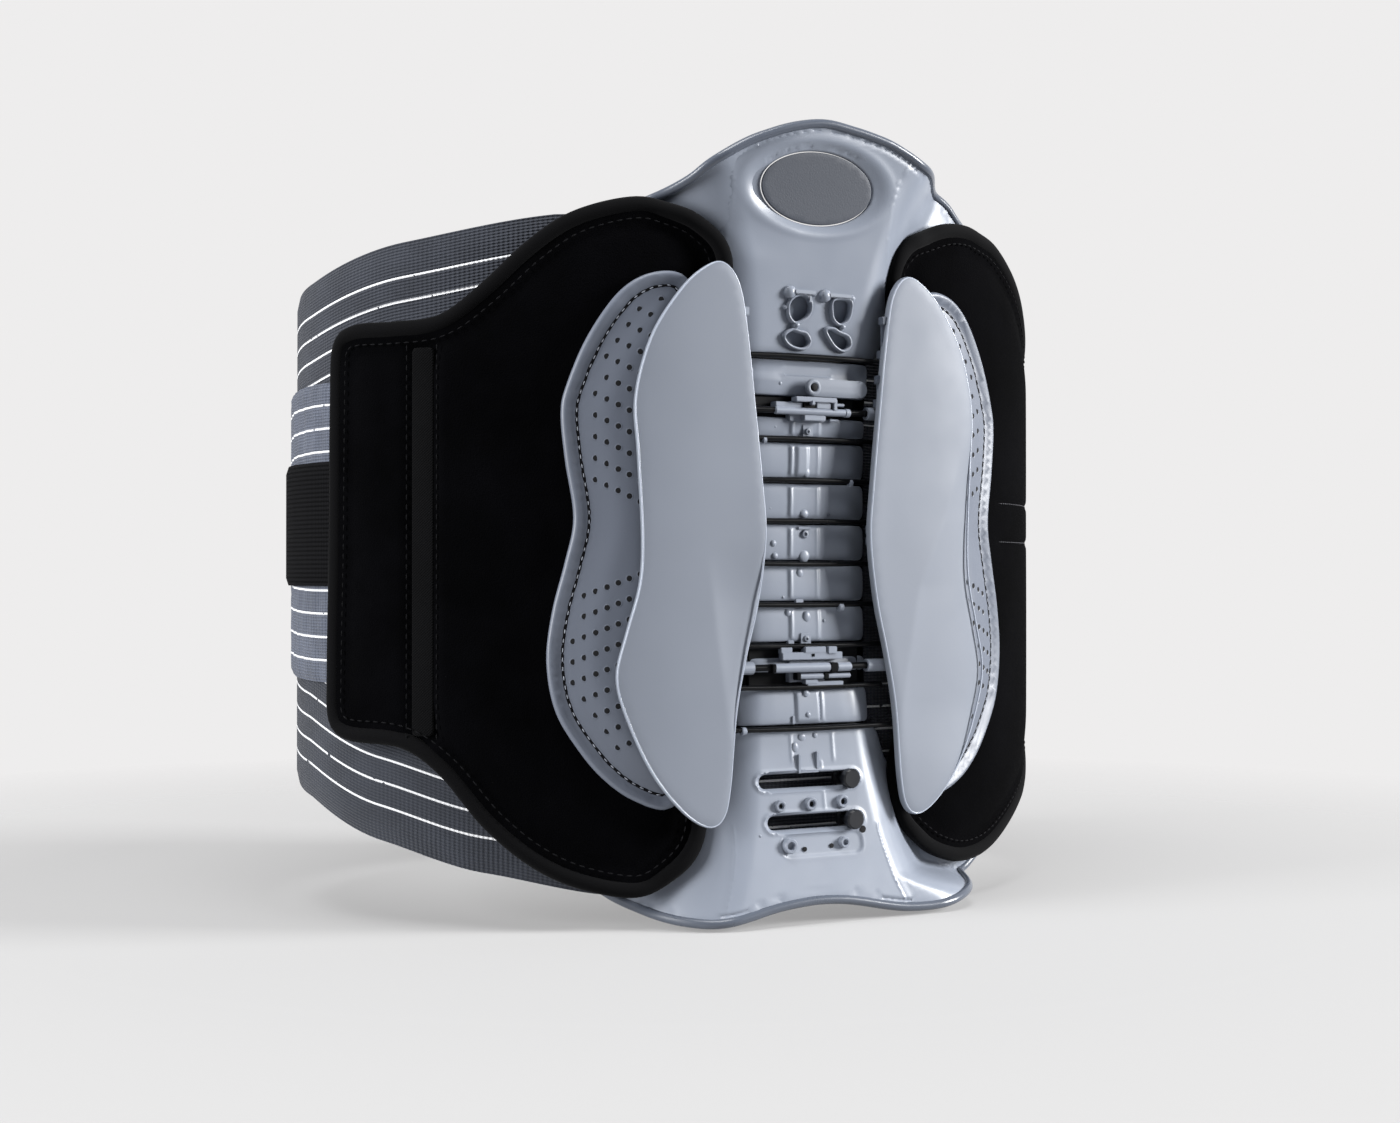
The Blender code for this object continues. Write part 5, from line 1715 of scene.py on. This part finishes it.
def band_piece(name, s0, s1, low_edge, high_edge, face, back, material, rows=44, step=4.0, from_edge=True,
               ruffle=None):
    """A strip along the waist between two edges, with every point's distance from its edges kept."""
    s = np.linspace(s0, s1, max(2, int(abs(s1 - s0) / step)) + 1)
    share = np.linspace(0, 1, rows + 1)
    low, high = height_of(low_edge, s, s), height_of(high_edge, s, s)
    z = low[:, None] + (high - low)[:, None] * share[None, :]
    s = np.broadcast_to(s[:, None], z.shape)
    fall = rounded(np.minimum(z - low[:, None], high[:, None] - z), (face - back) * 0.5)
    lift = ruffle(s, z) if ruffle else 0.0
    points = np.vstack([place(s, z, face - fall + lift).reshape(-1, 3),
        place(s, z, back + fall).reshape(-1, 3)])
    index = np.arange(z.size).reshape(z.shape)
    quads = np.stack([index[:-1, :-1], index[1:, :-1], index[1:, 1:], index[:-1, 1:]], -1).reshape(-1, 4)
    if s1 < s0:
        quads = quads[:, ::-1]
    under = quads[:, ::-1] + z.size
    ends = []
    for row, flip in ((index[0], True), (index[-1], False)):
        strip = np.stack([row[:-1], row[1:], row[1:] + z.size, row[:-1] + z.size], -1)
        ends.append(strip[:, ::-1] if flip == (s1 > s0) else strip)
    for column, flip in ((index[:, 0], False), (index[:, -1], True)):
        strip = np.stack([column[:-1], column[1:], column[1:] + z.size, column[:-1] + z.size], -1)
        ends.append(strip[:, ::-1] if flip == (s1 > s0) else strip)
    mesh = bpy.data.meshes.new(name)
    mesh.from_pydata(points.tolist(), [], np.vstack([quads, under, *ends]).tolist())
    add_pattern(mesh, np.stack([np.tile(s.ravel(), 2), np.tile(z.ravel(), 2)], -1) * MM)
    if from_edge:
        depth_in = np.minimum(z - low[:, None], high[:, None] - z)
        attribute = mesh.attributes.new("from_edge", "FLOAT", "POINT")
        attribute.data.foreach_set("value", np.tile(depth_in.ravel(), 2).astype(np.float32))
    mesh.materials.append(material)
    shape = bmesh.new()
    shape.from_mesh(mesh)
    bmesh.ops.recalc_face_normals(shape, faces=shape.faces)
    if shape.calc_volume(signed=True) < 0:
        bmesh.ops.reverse_faces(shape, faces=shape.faces)
    shape.to_mesh(mesh)
    shape.free()
    mesh.shade_smooth()
    mesh.set_sharp_from_angle(angle=math.radians(60))
    return link_object(name, mesh)


def puckers(s, z):
    """Gathers of an elastic strap that is sewn under tension."""
    sway = 0.9 * np.sin(z / 8.3) + 0.6 * np.sin(z / 3.7 + s / 19)
    return 0.26 * np.sin(s / 1.35 + sway) + 0.16 * np.sin(s / 3.1 - sway * 1.6)


HINGE_FROM = (0.1703, -0.045, 0.15)
HINGE_TO = (0.1703, 0.015, 0.15)


def bend_with_flap(obj, side, slot, *nodes):
    """Fabric that crosses the side of the waist turns with its flap."""
    label = SIDE_NAMES[side]
    start, end = ((x * side, y, z) for x, y, z in (HINGE_FROM, HINGE_TO))
    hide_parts(*nodes)
    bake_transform(obj, "back", f"flap_{label}", start=start, end=end)
    return obj


class BELT_OT_band(bpy.types.Operator):
    """Weaves the elastic band, its compression straps and the pull webbing"""

    bl_idname = "belt.band"
    bl_label = "Elastic band"

    def execute(self, context):
        ends = {LEFT: -FRONT_MIDDLE + 39.4, RIGHT: FRONT_MIDDLE + 39}
        for side, label in SIDE_NAMES.items():
            band = band_piece(
                f"elastic_band_{label}", side * 0.01, ends[side], lambda s, z: band_edge(s, BAND_BOTTOM),
                lambda s, z: band_edge(s, BAND_TOP), 2.0, 0.0, FINISH["elastic"],
            )
            bend_with_flap(band, side, "band_elastic", "band_back", f"band_flap_{label}")
            strap = band_piece(
                f"elastic_strap_{label}", side * 150, side * 362,
                lambda s, z: 94.5 + 9.5 * smooth_step((np.abs(s) - 203) / 153),
                lambda s, z: 215.5 - 9.5 * smooth_step((np.abs(s) - 203) / 153), 4.2, 2.4,
                FINISH["strap"], rows=48, step=1.6, ruffle=puckers,
            )
            bend_with_flap(strap, side, "band_elastic", f"compression_strap_{label}")
            webbing = band_piece(
                f"webbing_{label}", side * 172, side * 324, 133.5, 183.5, 6.6, 4.6, FINISH["webbing"],
                rows=16, from_edge=False,
            )
            bend_with_flap(webbing, side, "webbing_black", f"pull_webbing_{label}")
            dress(f"pull_tab_{label}", "hook")
        return {"FINISHED"}


class BELT_OT_front(bpy.types.Operator):
    """Sews the front panel and the patches that close the belt"""

    bl_idname = "belt.front"
    bl_label = "Front panel"

    def execute(self, context):
        half = smooth_loop(both_halves(FRONT_HALF))
        outline = np.stack([half[:, 0] - FRONT_MIDDLE, np.where(half[:, 1] < 1.0, 0.0, half[:, 1])], -1)
        outline = spaced(outline, 2.5)

        def relief(s, z, distance):
            return 2.0 * smooth_step((distance - 4) / 14) - 2.0

        panel = plate(
            "front_padded_panel", [inset(outline, 1.2)], 12.4, 5.2, FINISH["fabric"], 4.0, 2.4, relief=relief
        )
        settle(panel, "flap_left", "panel_fabric", "front_panel")
        binding = bead(
            "front_binding", inset(outline, 2.6), 8.6, round_profile(2.6, 2.9, 14), FINISH["binding"],
            step=2.2
        )
        settle(binding, "flap_left", "panel_fabric")
        row = inset(outline, 7.0)
        thread = stitches("front_stitches", [(place(*row.T, 11.1), True)], FINISH["thread_black"], 3.8, 2.6,
            0.6)
        settle(thread, "flap_left", "panel_fabric")
        dress("loop_patch", "hook")
        dress("hook_patch", "hook")
        return {"FINISHED"}


CUSHION_DEPTH = 12.5
CUSHION_CHANNELS = (66, 98, 130, 162, 194, 226)


class BELT_OT_inside(bpy.types.Operator):
    """Makes the quilted cushion inside the belt and dresses the stays"""

    bl_idname = "belt.inside"
    bl_label = "Inner cushion"

    def execute(self, context):
        outline = spaced(rounded_box(-57, 57, 49, 251, 21, 9), 2.5)

        def inward(s, z):
            _, y, _, ny = waist(s)
            return (WAIST_HALF_DEPTH - CUSHION_DEPTH + y) / ny

        def relief(s, z, distance):
            quilt = sum(np.exp(-(((z - level) / 2.2) ** 2)) for level in CUSHION_CHANNELS)
            quilt = quilt * (np.abs(s) > 14) + np.exp(-(((np.abs(s) - 14) / 2.0) ** 2))
            rim = 1.6 * (1 - smooth_step((distance - 2) / 12))
            return -0.9 * np.clip(quilt, 0, 1) * smooth_step((distance - 5) / 4) - rim

        cushion = plate(
            "inner_cushion", [outline], inward, 0.6, FINISH["mesh"], 3.0, 2.6, relief=relief,
            wrap=lambda s, z, d: place(-s, z, -d),
        )
        settle(cushion, "back", "cushion_mesh", "lumbar_cushion")
        edge = bead(
            "cushion_binding", np.stack([-outline[::-1, 0], outline[::-1, 1]], -1), lambda s, z: 0 * s - 3.2,
            round_profile(1.7, 2.3, 12), FINISH["binding"], step=2.5,
        )
        settle(edge, "back", "cushion_mesh")
        dress("stay_left", "badge")
        dress("stay_right", "badge")
        return {"FINISHED"}


def light(name, at, target, size, power, colour=(1, 1, 1)):
    """A soft area light aimed at a point."""
    lamp = bpy.data.lights.new(name, "AREA")
    lamp.shape = "RECTANGLE"
    lamp.size, lamp.size_y = size
    lamp.energy = power
    lamp.color = colour
    obj = bpy.data.objects.new(name, lamp)
    bpy.context.scene.collection.objects.link(obj)
    obj.location = at
    obj.rotation_euler = (Vector(target) - Vector(at)).to_track_quat("-Z", "Y").to_euler()
    return obj


BACKDROP = (0.855, 0.847, 0.847)
AMBIENT = (0.12, 0.125, 0.14)
CAMERA_AT = (-0.4567, -0.8258, 0.1382)
CAMERA_ALONG = (0.4962, 0.8682, 0.0061)
BACKDROP_FULL, BACKDROP_GONE = 38.0, 72.0
FLOOR_ALBEDO = 0.26
FLOOR_GLOW = 0.36


def studio_world():
    """A pale backdrop on the far side of the belt, with a dimmer room to light it from the rest."""
    world = bpy.data.worlds.new("studio")
    world.use_nodes = True
    tree = world.node_tree
    coords = tree.nodes.new("ShaderNodeTexCoord").outputs["Generated"]
    facing = tree.nodes.new("ShaderNodeVectorMath")
    facing.operation = "DOT_PRODUCT"
    facing.inputs[1].default_value = Vector((*CAMERA_ALONG[:2], 0)).normalized()
    tree.links.new(coords, facing.inputs[0])
    low, high = (math.cos(math.radians(a)) for a in (BACKDROP_GONE, BACKDROP_FULL))
    share = spread(tree, facing.outputs["Value"], 0, 1, low, high)
    seen = tree.nodes.new("ShaderNodeLightPath").outputs["Is Camera Ray"]
    colour = mix_colours(tree, maths(tree, "MAXIMUM", share, seen), AMBIENT, BACKDROP)
    tree.links.new(colour, tree.nodes["Background"].inputs["Color"])
    return world


class BELT_OT_stage(bpy.types.Operator):
    """Sets the pale floor, the softboxes and the camera"""

    bl_idname = "belt.stage"
    bl_label = "Stage and camera"

    def execute(self, context):
        scene = context.scene
        scene.world = studio_world()
        turn = np.linspace(0, 2 * np.pi, 64, endpoint=False)
        points = [(0, 0, 0)] + [(2 * math.cos(a), 2 * math.sin(a), 0) for a in turn]
        faces = [(0, k + 1, (k + 1) % 64 + 1) for k in range(64)]
        mesh = bpy.data.meshes.new("floor")
        mesh.from_pydata(points, [], faces)
        floor = link_object("floor", mesh)
        material = bpy.data.materials.new("pale_floor")
        material.use_nodes = True
        tree = material.node_tree
        shader = tree.nodes["Principled BSDF"]
        shader.inputs["Base Color"].default_value = (FLOOR_ALBEDO, FLOOR_ALBEDO, FLOOR_ALBEDO, 1)
        shader.inputs["Roughness"].default_value = 1.0
        shader.inputs["Specular IOR Level"].default_value = 0.0
        shader.inputs["Emission Color"].default_value = (*BACKDROP, 1)
        shader.inputs["Emission Strength"].default_value = FLOOR_GLOW
        clear = tree.nodes.new("ShaderNodeBsdfTransparent")
        mix = tree.nodes.new("ShaderNodeMixShader")
        away = tree.nodes.new("ShaderNodeVectorMath")
        away.operation = "LENGTH"
        tree.links.new(object_coords(tree), away.inputs[0])
        fade = spread(tree, away.outputs["Value"], 0, 1, 0.3, 0.7)
        tree.links.new(fade, mix.inputs[0])
        tree.links.new(shader.outputs[0], mix.inputs[1])
        tree.links.new(clear.outputs[0], mix.inputs[2])
        tree.links.new(mix.outputs[0], tree.nodes["Material Output"].inputs["Surface"])
        mesh.materials.append(material)
        power = scene.belt_sizes.key_power
        light("key_softbox", (2.25, -1.5, 0.95), (0.0, -0.1, 0.16), (0.8, 1.1), power)
        light("left_softbox", (-2.0, 0.0, 0.6), (-0.1, -0.05, 0.16), (0.7, 1.3), power * 0.36)
        light("top_softbox", (-0.3, -0.4, 1.7), (0, 0, 0.15), (1.0, 0.7), power * 0.13)
        camera = bpy.data.cameras.new("camera")
        camera.lens = 54.086
        camera.sensor_fit = "HORIZONTAL"
        camera.sensor_width = 36.0
        camera.clip_start = 0.01
        view = bpy.data.objects.new("camera", camera)
        scene.collection.objects.link(view)
        view.location = CAMERA_AT
        view.rotation_euler = Vector(CAMERA_ALONG).to_track_quat("-Z", "Y").to_euler()
        scene.camera = view
        scene.view_settings.view_transform = "Standard"
        scene.view_settings.look = "None"
        return {"FINISHED"}


class BELT_PT_panel(bpy.types.Panel):
    """Lists the belt's sizes, colours and pieces"""

    bl_label = "Lumbar support belt"
    bl_idname = "BELT_PT_panel"
    bl_space_type = "VIEW_3D"
    bl_region_type = "UI"
    bl_category = "Belt"

    def draw(self, context):
        for group in (context.scene.belt_finishes, context.scene.belt_sizes):
            for key in group.bl_rna.properties.keys():
                if key not in ("rna_type", "name"):
                    self.layout.prop(group, key)
        for piece in PIECES:
            self.layout.operator(piece.bl_idname)


PIECES = (
    BELT_OT_shells,
    BELT_OT_spine,
    BELT_OT_guides,
    BELT_OT_wings,
    BELT_OT_pads,
    BELT_OT_panels,
    BELT_OT_band,
    BELT_OT_front,
    BELT_OT_inside,
    BELT_OT_stage,
)
CLASSES = (BeltFinishes, BeltSizes, *PIECES, BELT_PT_panel)


def register():
    for cls in CLASSES:
        bpy.utils.register_class(cls)
    bpy.types.Scene.belt_finishes = PointerProperty(type=BeltFinishes)
    bpy.types.Scene.belt_sizes = PointerProperty(type=BeltSizes)


def unregister():
    del bpy.types.Scene.belt_sizes
    del bpy.types.Scene.belt_finishes
    for cls in reversed(CLASSES):
        bpy.utils.unregister_class(cls)


def main():
    register()
    make_finishes(bpy.context.scene.belt_finishes)
    bpy.ops.belt.stage()
    bpy.ops.belt.shells()
    bpy.ops.belt.spine()
    bpy.ops.belt.guides()
    bpy.ops.belt.wings()
    bpy.ops.belt.pads()
    bpy.ops.belt.panels()
    bpy.ops.belt.band()
    bpy.ops.belt.front()
    bpy.ops.belt.inside()


if __name__ == "__main__":
    main()
